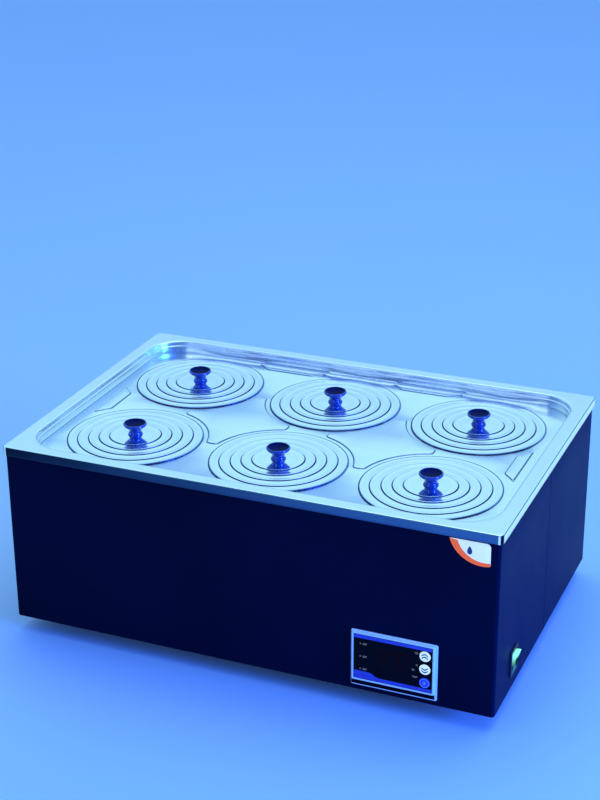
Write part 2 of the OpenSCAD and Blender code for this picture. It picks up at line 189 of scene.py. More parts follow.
def skirt_steel(name):
    """The rim's folded-down skirt with painted light: a painted sheen and a painted glow on the two ends, a painted
    glint and painted shade where the corners turn, and painted shade along the front and the rear, darker towards the
    left.
    """
    k = Mat(name, (0.1, 0.2, 0.4), 0.2, 1.0)
    geo = k.n("ShaderNodeNewGeometry")
    sn = k.n("ShaderNodeSeparateXYZ")
    k.link(geo.outputs["True Normal"], sn.inputs[0])
    nx = k.math("ABSOLUTE", sn.outputs[0])
    # painted sheen on the two ends, painted glint and painted shade at the corners, all set by which way the surface
    # faces
    ends = k.maprange(nx, 0.95, 0.995, 0.0, 1.0)
    glint = k.math("MULTIPLY", k.maprange(nx, 0.10, 0.22, 0.0, 1.0), k.maprange(nx, 0.42, 0.55, 1.0, 0.0))
    shade = k.math("MULTIPLY", k.maprange(nx, 0.42, 0.6, 0.0, 1.0), k.maprange(nx, 0.93, 0.97, 1.0, 0.0))
    tc = k.n("ShaderNodeTexCoord")
    sp = k.n("ShaderNodeSeparateXYZ")
    k.link(tc.outputs["Object"], sp.inputs[0])
    cloud = k.noise(k.coords((5, 5, 5)), 1.0, 4, 0.5, 0.3)
    hair = k.noise(k.coords((14, 14, 2600)), 1.0, 3, 0.7)
    # painted shade along the front and the rear: darker towards the left, darkest in the corner shade
    along = k.math("ADD", sp.outputs[0], k.math("MULTIPLY", k.math("SUBTRACT", cloud, 0.5), 0.2))
    long = k.mix(k.maprange(along, -0.32, 0.24, 0.0, 1.0), (0.005, 0.010, 0.020), (0.10, 0.19, 0.28))
    long = k.mix(shade, long, (0.004, 0.007, 0.014))
    # pale grained colour of the ends: painted sheen
    short = k.mix(hair, (0.72, 0.84, 0.80), (0.86, 0.95, 0.90))
    pale = k.math("MAXIMUM", ends, glint)
    k.base(k.mix(pale, long, short))
    # painted glow on the ends and on the corner glint
    k.link(k.mix(pale, (0.0, 0.0, 0.0), (0.26, 0.36, 0.12)), k.b.inputs["Emission Color"])
    k.b.inputs["Emission Strength"].default_value = 1.0
    k.rough(k.maprange(cloud, 0.3, 0.7, 0.14, 0.24))
    h = k.bump(hair, 0.08, 0.00005)
    k.bump(cloud, 0.03, 0.002, h)
    return k.m


def turned(name, tint=(0.66, 0.74, 0.80), rough=(0.2, 0.33), depth=1.0):
    """Pressed and lathe-finished stainless: fine grooves that run round the piece's own axis."""
    k = Mat(name, tint, 0.28, 1.0, Anisotropic=0.35)
    r, z = k.radius()
    tg = k.n("ShaderNodeTangent", direction_type="RADIAL", axis="Z")
    k.link(tg.outputs[0], k.b.inputs["Tangent"])
    fine = k.noise(k.comb(k.math("MULTIPLY", r, 2200), k.math("MULTIPLY", z, 300), 0), 1.0, 3, 0.6)
    wide = k.noise(k.comb(k.math("MULTIPLY", r, 330), 3.3, 0), 1.0, 2, 0.5)
    cloud = k.noise(k.coords((9, 9, 9)), 1.0, 4, 0.5, 0.4)
    hair = k.noise(k.coords((30, 1400, 60), rot=(0, 0, 0.7)), 1.0, 1, 0.6)
    mixv = k.math("ADD", k.math("MULTIPLY", fine, 0.45), k.math("MULTIPLY", wide, 0.55))
    dark = tuple(c * 0.93 for c in tint)
    lite = tuple(min(1, c * 1.06) for c in tint)
    k.base(k.mix(k.maprange(k.math("ADD", mixv, k.math("MULTIPLY", cloud, 0.8)), 0.6, 1.2, 0, 1), dark, lite))
    rr_ = k.math("ADD", k.maprange(cloud, 0.3, 0.7, rough[0], rough[1]), k.maprange(hair, 0.7, 0.8, 0.0, 0.05))
    k.rough(rr_)
    h = k.bump(mixv, 0.12 * depth, 0.00006)
    k.bump(cloud, 0.04, 0.0018, h)
    return k.m


def edge_shade_steel(name, dark=(0.008, 0.035, 0.20), lite=(0.16, 0.32, 0.66)):
    """Edges of the pressed sheet in a dark blue steel, unevenly lighter along their length: painted shade for the dark
    lines along the edges.
    """
    k = Mat(name, dark, 0.35, 0.75)
    a = k.noise(k.coords((160, 160, 900)), 1.0, 4, 0.6)
    b_ = k.noise(k.coords((17, 17, 17), out="Object"), 1.0, 3, 0.5, 0.2)
    v = k.math("ADD", k.math("MULTIPLY", a, 0.25), k.math("MULTIPLY", b_, 0.9))
    k.base(k.mix(k.maprange(v, 0.48, 0.76, 0, 1), dark, lite))
    k.rough(k.maprange(a, 0.3, 0.7, 0.26, 0.45))
    k.bump(a, 0.12, 0.00008)
    return k.m


def paint(name, base=(0.0012, 0.0040, 0.020), lite=(0.0018, 0.0056, 0.030), spec=0.015, coat=0.01):
    """Baked enamel on sheet steel: deep navy with orange peel and a clear surface."""
    k = Mat(name, base, 0.3, 0.0, Coat_Weight=coat, Coat_Roughness=0.12, Coat_IOR=1.5, Coat_Tint=(0.55, 0.75, 1.0),
            IOR=1.5, Specular_IOR_Level=spec, Specular_Tint=(0.35, 0.6, 1.0))
    cloud = k.noise(k.coords((5, 5, 5)), 1.0, 4, 0.5, 0.3)
    fleck = k.noise(k.coords((1400, 1400, 1400)), 1.0, 2, 0.6)
    rub = k.noise(k.coords((16, 16, 11)), 1.0, 4, 0.6, 0.4)
    k.base(k.mix(k.maprange(k.math("ADD", cloud, k.math("MULTIPLY", fleck, 0.35)), 0.45, 0.9, 0, 1), base, lite))
    k.rough(k.math("ADD", k.maprange(cloud, 0.3, 0.7, 0.30, 0.38), k.maprange(rub, 0.45, 0.7, 0.0, 0.03)))
    peel = k.noise(k.coords((520, 520, 520)), 1.0, 2, 0.45)
    h = k.bump(peel, 0.08, 0.00010)
    k.bump(cloud, 0.02, 0.003, h)
    return k.m


def plastic(name, base, rough=0.3, spread=0.07, peel=0.08, grain=900, lite=1.35, **kw):
    """Moulded plastic with faint flow marks, moulding grain and handling haze."""
    k = Mat(name, base, rough, 0.0, **kw)
    cloud = k.noise(k.coords((60, 60, 60)), 1.0, 4, 0.55, 0.4)
    g = k.noise(k.coords((grain, grain, grain)), 1.0, 2, 0.5)
    k.base(k.mix(k.maprange(k.math("ADD", cloud, k.math("MULTIPLY", g, 0.3)), 0.4, 0.9, 0, 1),
                 base, tuple(min(1, c * lite) for c in base)))
    k.rough(k.math("ADD", k.maprange(cloud, 0.3, 0.7, rough - spread, rough + spread), k.maprange(g, 0.3, 0.7, -0.02, 0.02)))
    h = k.bump(g, peel, 0.00008)
    k.bump(cloud, peel, 0.0006, h)
    return k.m


def rubber(name):
    k = Mat(name, (0.018, 0.018, 0.02), 0.75)
    c = k.noise(k.coords((180, 180, 180)), 1.0, 5, 0.6)
    d = k.noise(k.coords((1300, 1300, 1300)), 1.0, 2, 0.5)
    k.base(k.mix(k.maprange(c, 0.35, 0.7, 0, 1), (0.012, 0.012, 0.014), (0.045, 0.046, 0.05)))
    k.rough(k.maprange(c, 0.3, 0.7, 0.62, 0.86))
    k.bump(d, 0.3, 0.00015)
    return k.m


def metal(name, base, rough=(0.25, 0.4), speck=500, bump=0.12):
    k = Mat(name, base, 0.3, 1.0)
    c = k.noise(k.coords((45, 45, 45)), 1.0, 5, 0.6, 0.3)
    g = k.noise(k.coords((speck, speck, speck)), 1.0, 3, 0.6)
    k.base(k.mix(k.maprange(k.math("ADD", c, k.math("MULTIPLY", g, 0.4)), 0.45, 0.95, 0, 1),
                 tuple(v * 0.8 for v in base), tuple(min(1, v * 1.12) for v in base)))
    k.rough(k.maprange(c, 0.3, 0.7, rough[0], rough[1]))
    h = k.bump(g, bump, 0.0001)
    k.bump(c, bump, 0.0008, h)
    return k.m


def wool(name):
    k = Mat(name, (0.62, 0.52, 0.24), 0.95, 0.0, Sheen_Weight=0.4)
    v = k.coords((260, 260, 60))
    f = k.noise(v, 1.0, 6, 0.75, 1.6)
    c = k.noise(k.coords((30, 30, 30)), 1.0, 4, 0.5)
    k.base(k.mix(f, (0.42, 0.33, 0.12), (0.80, 0.71, 0.42)))
    k.rough(k.maprange(c, 0.3, 0.7, 0.85, 1.0))
    h = k.bump(f, 0.8, 0.0012)
    k.bump(c, 0.5, 0.003, h)
    return k.m


M = {
    "rim": steel("stainless_rim", (0.76, 0.86, 0.90), (0.20, 0.29), "x"),
    # skirt steel with painted sheen, painted glint, painted shade and a painted glow
    "skirt": skirt_steel("stainless_skirt_painted_light"),
    "deck": steel("stainless_deck", (0.76, 0.87, 0.93), (0.20, 0.28), "x"),
    # dark blue copy of the deck steel for the slopes of the pressed panels: painted shade
    "deck_slope": steel("stainless_deck_slope_shade", (0.12, 0.20, 0.38), (0.28, 0.4), "x"),
    # dark edge steel: painted shade along the edges of the rings and lids
    "edge": edge_shade_steel("ring_edge"),
    "tank": steel("stainless_tank", (0.60, 0.68, 0.74), (0.22, 0.36), "z"),
    "shelf": steel("shelf_steel", (0.62, 0.68, 0.73), (0.26, 0.4), "y"),
    "ring": turned("ring_steel", (0.76, 0.87, 0.93), (0.11, 0.18), 0.6),
    "lid": turned("lid_steel", (0.76, 0.87, 0.93), (0.05, 0.09), 0.25),
    "paint": paint("casing_paint"),
    "base": paint("base_paint", (0.010, 0.011, 0.014), (0.022, 0.024, 0.03)),
    "plug": rubber("plug_rubber"),
    "rubber": rubber("foot_rubber"),
    "zinc": metal("zinc_screws", (0.55, 0.57, 0.6), (0.28, 0.45)),
    "wool": wool("glass_wool"),
    "heater": metal("heater_sheath", (0.42, 0.43, 0.45), (0.35, 0.55), 300, 0.2),
    "gland": metal("gland_brass", (0.72, 0.52, 0.24), (0.25, 0.4)),
    "probe": metal("probe_steel", (0.6, 0.64, 0.68), (0.2, 0.3)),
    "brass": metal("drain_brass", (0.74, 0.54, 0.26), (0.22, 0.42)),
    "bezel": plastic("bezel_silver", (0.74, 0.86, 0.95), 0.28, 0.06, 0.06, 1200, 1.05, Coat_Weight=0.3),
    "window": plastic("window_black", (0.0012, 0.002, 0.004), 0.2, 0.05, 0.03, 700, 1.8, Specular_IOR_Level=0.07, Specular_Tint=(0.6, 0.75, 1.0)),
    # white keys with a painted glow
    "button": plastic("button_white", (0.85, 0.96, 0.97), 0.3, 0.06, 0.05, 900, 1.03, Emission_Color=(0.9, 1.0, 0.4), Emission_Strength=0.42),
    "blue": plastic("button_blue", (0.035, 0.06, 0.62), 0.3, 0.06, 0.05, 900, 1.3),
    "black": plastic("switch_black", (0.010, 0.011, 0.014), 0.4, 0.08, 0.12, 700, 1.8),
    "inlet": plastic("inlet_black", (0.012, 0.012, 0.014), 0.45, 0.08, 0.12, 700, 1.8),
    # white badge with a painted glow
    "badge": plastic("badge_white", (0.97, 0.98, 0.88), 0.32, 0.06, 0.05, 700, 1.02, Emission_Color=(1.0, 1.0, 0.25), Emission_Strength=0.34),
    "knob": plastic("knob_plastic", (0.007, 0.036, 0.26), 0.15, 0.04, 0.02, 500, 1.4, Coat_Weight=0.5, Coat_Roughness=0.05,
                    Specular_IOR_Level=0.6, Specular_Tint=(0.55, 0.78, 1.0), Metallic=0.25),
    # darker, nearly unreflecting copy of the knob plastic for the dished top: painted shade
    "knob_dish": plastic("knob_plastic_dish_shade", (0.0006, 0.005, 0.050), 0.34, 0.05, 0.05, 500, 1.5, Specular_IOR_Level=0.02, Specular_Tint=(0.1, 0.4, 1.0), Coat_Weight=0.0),
    "strip": plastic("print_blue", (0.040, 0.055, 0.46), 0.3, 0.05, 0.04, 900, 1.25),
    # pale printed marks with a faint painted glow
    "mark": plastic("print_pale", (0.20, 0.16, 0.14), 0.5, 0.05, 0.04, 900, 1.1, Specular_IOR_Level=0.1, Emission_Color=(0.6, 0.5, 0.45), Emission_Strength=0.10),
    # orange print with a painted glow
    "orange": plastic("print_orange", (0.95, 0.14, 0.012), 0.35, 0.06, 0.05, 700, 1.08, Emission_Color=(1.0, 0.10, 0.0), Emission_Strength=0.5),
    "ink": plastic("print_navy", (0.03, 0.04, 0.12), 0.4, 0.06, 0.05, 700, 1.3),
    # near-black strip for the lower and left bars of the controller flange: painted shade
    "gasket": plastic("flange_shade_black", (0.0010, 0.0016, 0.006), 0.6, 0.08, 0.10, 700, 1.8, Specular_IOR_Level=0.02),
    "key_ink": plastic("print_key_ink", (0.004, 0.03, 0.10), 0.5, 0.05, 0.04, 900, 1.2, Specular_IOR_Level=0.05),
    "key_mark": plastic("print_key", (0.42, 0.50, 0.78), 0.4, 0.05, 0.04, 900, 1.15),
    "pin": metal("pin_nickel", (0.62, 0.62, 0.6), (0.2, 0.35)),
}


def digit_red():
    k = Mat("digit_red", (0.05, 0.004, 0.004), 0.5, 0.0, Emission_Color=(0.9, 0.05, 0.03), Emission_Strength=0.006, Specular_IOR_Level=0.03)
    c = k.noise(k.coords((300, 300, 300)), 1.0, 3, 0.5)
    k.base(k.mix(c, (0.008, 0.0012, 0.0012), (0.014, 0.002, 0.002)))
    k.rough(k.maprange(c, 0.3, 0.7, 0.3, 0.45))
    return k.m


def rocker_green():
    """Translucent green cap, lighter and glowing towards its upper end: painted light on the lit upper end."""
    k = Mat("rocker_green", (0.02, 0.5, 0.12), 0.25, 0.0, Coat_Weight=0.4, Coat_Roughness=0.1, Emission_Strength=0.9)
    tc = k.n("ShaderNodeTexCoord")
    sep = k.n("ShaderNodeSeparateXYZ")
    k.link(tc.outputs["Object"], sep.inputs[0])
    c = k.noise(k.coords((140, 140, 140)), 1.0, 4, 0.5)
    zz = k.math("ADD", sep.outputs[2], k.math("MULTIPLY", k.math("SUBTRACT", c, 0.5), 0.003))
    # lighter and glowing towards the upper end: painted light
    glow = k.maprange(zz, -0.004, 0.009, 0.0, 1.0)
    k.base(k.mix(glow, (0.004, 0.10, 0.03), (0.30, 0.85, 0.55)))
    k.link(k.mix(glow, (0.0, 0.05, 0.012), (0.26, 0.82, 0.50)), k.b.inputs["Emission Color"])
    k.rough(k.maprange(c, 0.3, 0.7, 0.18, 0.32))
    k.bump(c, 0.08, 0.0004)
    return k.m


M["red"] = digit_red()
M["rocker"] = rocker_green()

# the CAD nodes that stay take their finish here
CARRY = {
    "tank": "tank", "insulation": "wool", "heater_element": "heater", "heater_glands": "gland",
    "temperature_probe": "probe", "base_plate": "base", "casing_screws": "zinc", "shelf": "shelf",
}
for node_name, key in CARRY.items():
    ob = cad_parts[node_name]
    for sl in ob.material_slots:
        sl.material = M[key]
    if not ob.material_slots:
        ob.data.materials.append(M[key])


# ------------------------------------------------------------------ mesh helpers
def rr(w, d, r, n=10, cx=0.0, cy=0.0):
    """Points of a rectangle with round corners, anticlockwise."""
    r = max(r, 0.02)
    pts = []
    for sx, sy, a0 in ((1, -1, -90), (1, 1, 0), (-1, 1, 90), (-1, -1, 180)):
        for i in range(n + 1):
            a = (a0 + 90 * i / n) * D2R
            pts.append((cx + sx * (w / 2 - r) + r * math.cos(a), cy + sy * (d / 2 - r) + r * math.sin(a)))
    return pts


class Build:
    """Collects closed shells, then becomes one object with its faces turned outwards."""

    def __init__(self):
        self.v, self.f, self.mi = [], [], []

    def add(self, verts, faces, mi=0):
        o = len(self.v)
        self.v += [tuple(p) for p in verts]
        self.f += [tuple(i + o for i in f) for f in faces]
        self.mi += [mi] * len(faces)

    def loft(self, loops, around=True, closed=False, cap0=False, cap1=False, mi=0, mis=None):
        m, n = len(loops[0]), len(loops)
        verts = [p for l in loops for p in l]
        faces, tags = [], []
        for i in range(n if closed else n - 1):
            a, b = i * m, ((i + 1) % n) * m
            for j in range(m if around else m - 1):
                k = (j + 1) % m
                faces.append((a + j, a + k, b + k, b + j))
                tags.append(mis[i] if mis else mi)
        if cap0:
            faces.append(tuple(reversed(range(m))))
            tags.append(mi)
        if cap1:
            faces.append(tuple((n - 1) * m + j for j in range(m)))
            tags.append(mi)
        self.add(verts, faces, mi)
        self.mi[-len(tags):] = tags

    def lathe(self, prof, n=96, cx=0.0, cy=0.0, cz=0.0, axis="z", mi=0, closed=True, mis=None):
        """prof is (r, z) points. closed: the profile is a ring round a hole; otherwise it starts and ends on the axis."""
        def place(r, h, a):
            c, s = r * math.cos(a), r * math.sin(a)
            if axis == "z":
                return (cx + c, cy + s, cz + h)
            if axis == "y":
                return (cx + c, cy + h, cz - s)
            return (cx + h, cy + c, cz + s)
        if closed:
            self.loft([[place(r, h, TAU * i / n) for i in range(n)] for r, h in prof], closed=True, mi=mi, mis=mis)
            return
        inner = prof[1:-1]
        verts = [place(0, prof[0][1], 0)] + [place(r, h, TAU * i / n) for r, h in inner for i in range(n)] + [place(0, prof[-1][1], 0)]
        faces, tags, last = [], [], len(verts) - 1
        for i in range(n):
            k = (i + 1) % n
            faces.append((0, 1 + k, 1 + i))
            tags.append(mis[0] if mis else mi)
            for j in range(len(inner) - 1):
                a, b = 1 + j * n, 1 + (j + 1) * n
                faces.append((a + i, a + k, b + k, b + i))
                tags.append(mis[j + 1] if mis else mi)
            faces.append((last, 1 + (len(inner) - 1) * n + i, 1 + (len(inner) - 1) * n + k))
            tags.append(mis[-1] if mis else mi)
        self.add(verts, faces, mi)
        self.mi[-len(tags):] = tags

    def box(self, x0, x1, y0, y1, z0, z1, mi=0):
        v = [(x, y, z) for z in (z0, z1) for y in (y0, y1) for x in (x0, x1)]
        self.add(v, [(0, 2, 3, 1), (4, 5, 7, 6), (0, 1, 5, 4), (2, 6, 7, 3), (0, 4, 6, 2), (1, 3, 7, 5)], mi)

    def done(self, name, mats, body, nodes=(), origin=(0, 0, 0), angle=32, bevel=0.0, seg=2, bangle=50, weld=0.002, tri_ok=True):
        me = bpy.data.meshes.new(name)
        me.from_pydata([((p[0] - origin[0]) * S, (p[1] - origin[1]) * S, (p[2] - origin[2]) * S) for p in self.v], [], self.f)
        for i, p in enumerate(me.polygons):
            p.material_index = self.mi[i]
        bm = bmesh.new()
        bm.from_mesh(me)
        bmesh.ops.remove_doubles(bm, verts=bm.verts, dist=weld * S)
        bmesh.ops.dissolve_degenerate(bm, edges=bm.edges, dist=0.0004 * S)
        bmesh.ops.recalc_face_normals(bm, faces=bm.faces)
        if bevel:
            es = [e for e in bm.edges if len(e.link_faces) == 2 and e.calc_face_angle(0) > bangle * D2R]
            bmesh.ops.bevel(bm, geom=es, offset=bevel * S, segments=seg, profile=0.5, affect="EDGES", clamp_overlap=True)
            bmesh.ops.recalc_face_normals(bm, faces=bm.faces)
        bm.to_mesh(me)
        bm.free()
        for p in me.polygons:
            p.use_smooth = True
        me.set_sharp_from_angle(angle=angle * D2R)
        ob = bpy.data.objects.new(name, me)
        bpy.context.scene.collection.objects.link(ob)
        ob.location = [c * S for c in origin]
        for k in ([mats] if isinstance(mats, str) else mats):
            me.materials.append(M[k])
        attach(ob, body)
        if nodes:
            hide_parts(*nodes)
        return ob


def inside(pt, poly):
    x, y = pt
    c = False
    for i in range(len(poly)):
        x1, y1 = poly[i]
        x2, y2 = poly[i - 1]
        if (y1 > y) != (y2 > y) and x < (x2 - x1) * (y - y1) / (y2 - y1) + x1:
            c = not c
    return c


def triangulate(outer, holes):
    """Triangles of a flat region with holes. Points come back in the order outer, then each hole."""
    pts, edges = [], []
    for loop in [outer] + list(holes):
        o = len(pts)
        pts += [Vector(p) for p in loop]
        edges += [(o + i, o + (i + 1) % len(loop)) for i in range(len(loop))]
    vs, _, fs, _, _, _ = delaunay_2d_cdt(pts, edges, [], 0, 1e-6, False)
    boxes = [(min(p[0] for p in h), max(p[0] for p in h), min(p[1] for p in h), max(p[1] for p in h), h) for h in holes]
    keep = []
    for f in fs:
        c = ((vs[f[0]][0] + vs[f[1]][0] + vs[f[2]][0]) / 3, (vs[f[0]][1] + vs[f[1]][1] + vs[f[2]][1]) / 3)
        if not inside(c, outer):
            continue
        if any(x0 < c[0] < x1 and y0 < c[1] < y1 and inside(c, h) for x0, x1, y0, y1, h in boxes):
            continue
        keep.append(tuple(f))
    return [(v[0], v[1]) for v in vs], keep


def circle(cx, cy, r, n=64):
    return [(cx + r * math.cos(TAU * i / n), cy + r * math.sin(TAU * i / n)) for i in range(n)]


def soften(poly, sigma=2.0, step=1.0):
    """The outline with its corners rounded: evenly resampled, then smoothed."""
    seg = []
    for i in range(len(poly)):
        a, b = poly[i], poly[(i + 1) % len(poly)]
        seg.append((a, b, math.hypot(b[0] - a[0], b[1] - a[1])))
    total = sum(s[2] for s in seg)
    n = max(24, int(total / step))
    pts, acc, j = [], 0.0, 0
    for i in range(n):
        t = total * i / n
        while acc + seg[j][2] < t - 1e-9:
            acc += seg[j][2]
            j += 1
        a, b, l = seg[j]
        u = (t - acc) / max(l, 1e-9)
        pts.append((a[0] + (b[0] - a[0]) * u, a[1] + (b[1] - a[1]) * u))
    w = sigma / (total / n)
    half = int(3 * w) + 1
    ker = [math.exp(-0.5 * (k / w) ** 2) for k in range(-half, half + 1)]
    ks = sum(ker)
    return [(sum(ker[k + half] * pts[(i + k) % n][0] for k in range(-half, half + 1)) / ks,
             sum(ker[k + half] * pts[(i + k) % n][1] for k in range(-half, half + 1)) / ks) for i in range(n)]


def inset(poly, d):
    """The outline moved inwards by d (anticlockwise outline)."""
    out, n = [], len(poly)
    for i in range(n):
        a, b = poly[i - 1], poly[(i + 1) % n]
        tx, ty = b[0] - a[0], b[1] - a[1]
        l = math.hypot(tx, ty) or 1
        out.append((poly[i][0] - ty / l * d, poly[i][1] + tx / l * d))
    return out


def area2(poly):
    return sum(poly[i - 1][0] * poly[i][1] - poly[i][0] * poly[i - 1][1] for i in range(len(poly)))


def ccw(poly):
    return poly if area2(poly) > 0 else list(reversed(poly))


def curve(points, n=6):
    """Smooth line through points (Catmull-Rom). A point with a third value of 1 stays a sharp corner."""
    out = []
    P = [(p[0], p[1], (p[2] if len(p) > 2 else 0)) for p in points]
    for i in range(len(P) - 1):
        p1, p2 = P[i], P[i + 1]
        p0 = P[i - 1] if i > 0 and not p1[2] else p1
        p3 = P[i + 2] if i + 2 < len(P) and not p2[2] else p2
        for k in range(n):
            t = k / n
            q = []
            for c in (0, 1):
                a, b, c2, d = p0[c], p1[c], p2[c], p3[c]
                m1, m2 = (c2 - a) / 2, (d - b) / 2
                h = (2 * t ** 3 - 3 * t ** 2 + 1) * b + (t ** 3 - 2 * t ** 2 + t) * m1 + (-2 * t ** 3 + 3 * t ** 2) * c2 + (t ** 3 - t ** 2) * m2
                q.append(h)
            out.append(tuple(q))
    out.append((P[-1][0], P[-1][1]))
    return out


def plate(b, outer, holes, place, h0, h1, mi=0, edge=0.0):
    """Flat plate of an outline with holes, from height h0 to h1; place(x, y, h) puts it in space. edge softens the top edges."""
    loops0 = [outer] + list(holes)
    top = [inset(outer, edge)] + [inset(h, -edge) for h in holes] if edge else loops0
    pts, tris = triangulate(loops0[0], loops0[1:])
    b.add([place(x, y, h0) for x, y in pts], [tuple(reversed(t)) for t in tris], mi)
    pts2, tris2 = triangulate(top[0], top[1:])
    b.add([place(x, y, h1) for x, y in pts2], tris2, mi)
    for l0, l1 in zip(loops0, top):
        rows = [[place(x, y, h0) for x, y in l0]]
        if edge:
            for k in range(4):
                a = math.pi / 2 * k / 3
                f = 1 - math.cos(a)
                rows.append([place(p[0] + (q[0] - p[0]) * f, p[1] + (q[1] - p[1]) * f, h1 - edge + edge * math.sin(a)) for p, q in zip(l0, l1)])
        else:
            rows.append([place(x, y, h1) for x, y in l1])
        b.loft(rows, mi=mi)


# ------------------------------------------------------------------ the object's numbers
RIM_W, RIM_D, TOP, R_OUT = 600.0, 400.0, 243.0, 6.0
REC_W, REC_D, R_REC = 565.0, 365.0, 45.0
LOW_W, LOW_D = 561.0, 361.0
SHEET = 1.2
STEP_Z = 237.5
DECK_TOP, DECK_BOT = 228.5, 227.3
PX, PY = 184.4, 178.4
RING = [81.0, 68.0, 55.0, 42.6, 30.2]
COLLAR = 2.4
RISE = 0.6
CAS_W, CAS_D, R_CAS = 595.0, 395.0, 4.0
SEAM = 4.0
STATIONS = [("front_left", -1, -1), ("front_middle", 0, -1), ("front_right", 1, -1),
            ("rear_left", -1, 1), ("rear_middle", 0, 1), ("rear_right", 1, 1)]


# ------------------------------------------------------------------ rim
def make_rim():
    loops, tags = [], []

    def L(w, d, r, z, tag=0):
        loops.append([(x, y, z) for x, y in rr(w, d, r, 14)])
        tags.append(tag)

    def T(t, z, tag=1):                # inset from the outer skirt
        L(RIM_W - 2 * t, RIM_D - 2 * t, max(R_OUT - t, 1.5), z, tag)

    def R(t, z):                       # outset (+) or inset (-) from the recess wall
        L(REC_W + 2 * t, REC_D + 2 * t, R_REC + t, z)

    T(1.2, 232.25); T(0.95, 232.05); T(0.6, 232.0); T(0.25, 232.05); T(0.0, 232.3)
    T(0, 236.5)
    f = 1.5
    for i in range(9):
        a = math.pi / 2 * i / 8
        T(f - f * math.cos(a), TOP - f + f * math.sin(a), 1 if i < 4 else 0)
    # a very slight crown on the flange, as folded sheet has
    for u in (0.2, 0.5, 0.8):
        w0, w1 = RIM_W - 2 * f, REC_W + 3.6
        d0, d1 = RIM_D - 2 * f, REC_D + 3.6
        L(w0 + (w1 - w0) * u, d0 + (d1 - d0) * u, (R_OUT - f) + (R_REC + 1.8 - R_OUT + f) * u, TOP - 0.06 * (1 - abs(2 * u - 1)))
    g = 1.8
    for i in range(8):
        a = math.pi / 2 * i / 7
        R(g - g * math.sin(a), TOP - g + g * math.cos(a))
    R(0, STEP_Z + 0.8)
    for i in range(1, 5):
        a = math.pi / 2 * i / 4
        R(-0.8 + 0.8 * math.cos(a), STEP_Z + 0.8 - 0.8 * math.sin(a))
    for i in range(5):
        a = math.pi / 2 * i / 4
        R(-1.2 - 0.8 * math.sin(a), STEP_Z - 0.8 + 0.8 * math.cos(a))
    R(-2, DECK_BOT + 0.5)
    for i in range(1, 4):
        a = math.pi / 2 * i / 3
        R(-2.4 + 0.4 * math.cos(a), DECK_BOT + 0.4 - 0.4 * math.sin(a))
    L(536.4, 336.4, 23.2, DECK_BOT); L(536, 336, 23, DECK_BOT - 0.25); L(536, 336, 23, 226.4); L(536.5, 336.5, 23.2, 226.1)
    R(-0.8, 226.1); R(-0.8, STEP_Z - SHEET); R(1.2, STEP_Z - SHEET); R(1.2, TOP - 2.8); R(1.9, TOP - SHEET)
    T(f + 0.6, TOP - SHEET); T(1.5, TOP - 1.7); T(1.2, TOP - 2.8)
    b = Build()
    # rows tagged 1 take the skirt steel with its painted light
    b.loft(loops, closed=True, mis=tags)
    b.done("rim", ["rim", "skirt"], "root", ["rim_frame"], angle=50)


# ------------------------------------------------------------------ deck
def star(x0):
    R, hx, hy = 86.0, 67.0, 75.0
    sx, sy = PX / 2, PY / 2
    pts = []
    dx = math.sqrt(R * R - (sy - hy) ** 2)
    dy = math.sqrt(R * R - (sx - hx) ** 2)
    # the arc round each station, from the tip at the side to the tip at the front or rear
    for qx, qy in ((1, 1), (-1, 1), (-1, -1), (1, -1)):
        cx, cy = qx * sx, qy * sy
        a = math.atan2(qy * (sy - dy) - cy, qx * hx - cx)
        c = math.atan2(qy * hy - cy, qx * (sx - dx) - cx)
        d = (c - a + math.pi) % TAU - math.pi
        arc = [(x0 + cx + R * math.cos(a + d * i / 40), cy + R * math.sin(a + d * i / 40)) for i in range(41)]
        if qx * qy < 0:
            arc.reverse()
        pts += arc
    return ccw(pts)


def trap(x, y, a, b, h, turn):
    base = [(-a, 0), (a, 0), (b, h), (-b, h)]
    c, s = math.cos(turn), math.sin(turn)
    return ccw([(x + c * p - s * q, y + s * p + c * q) for p, q in base])


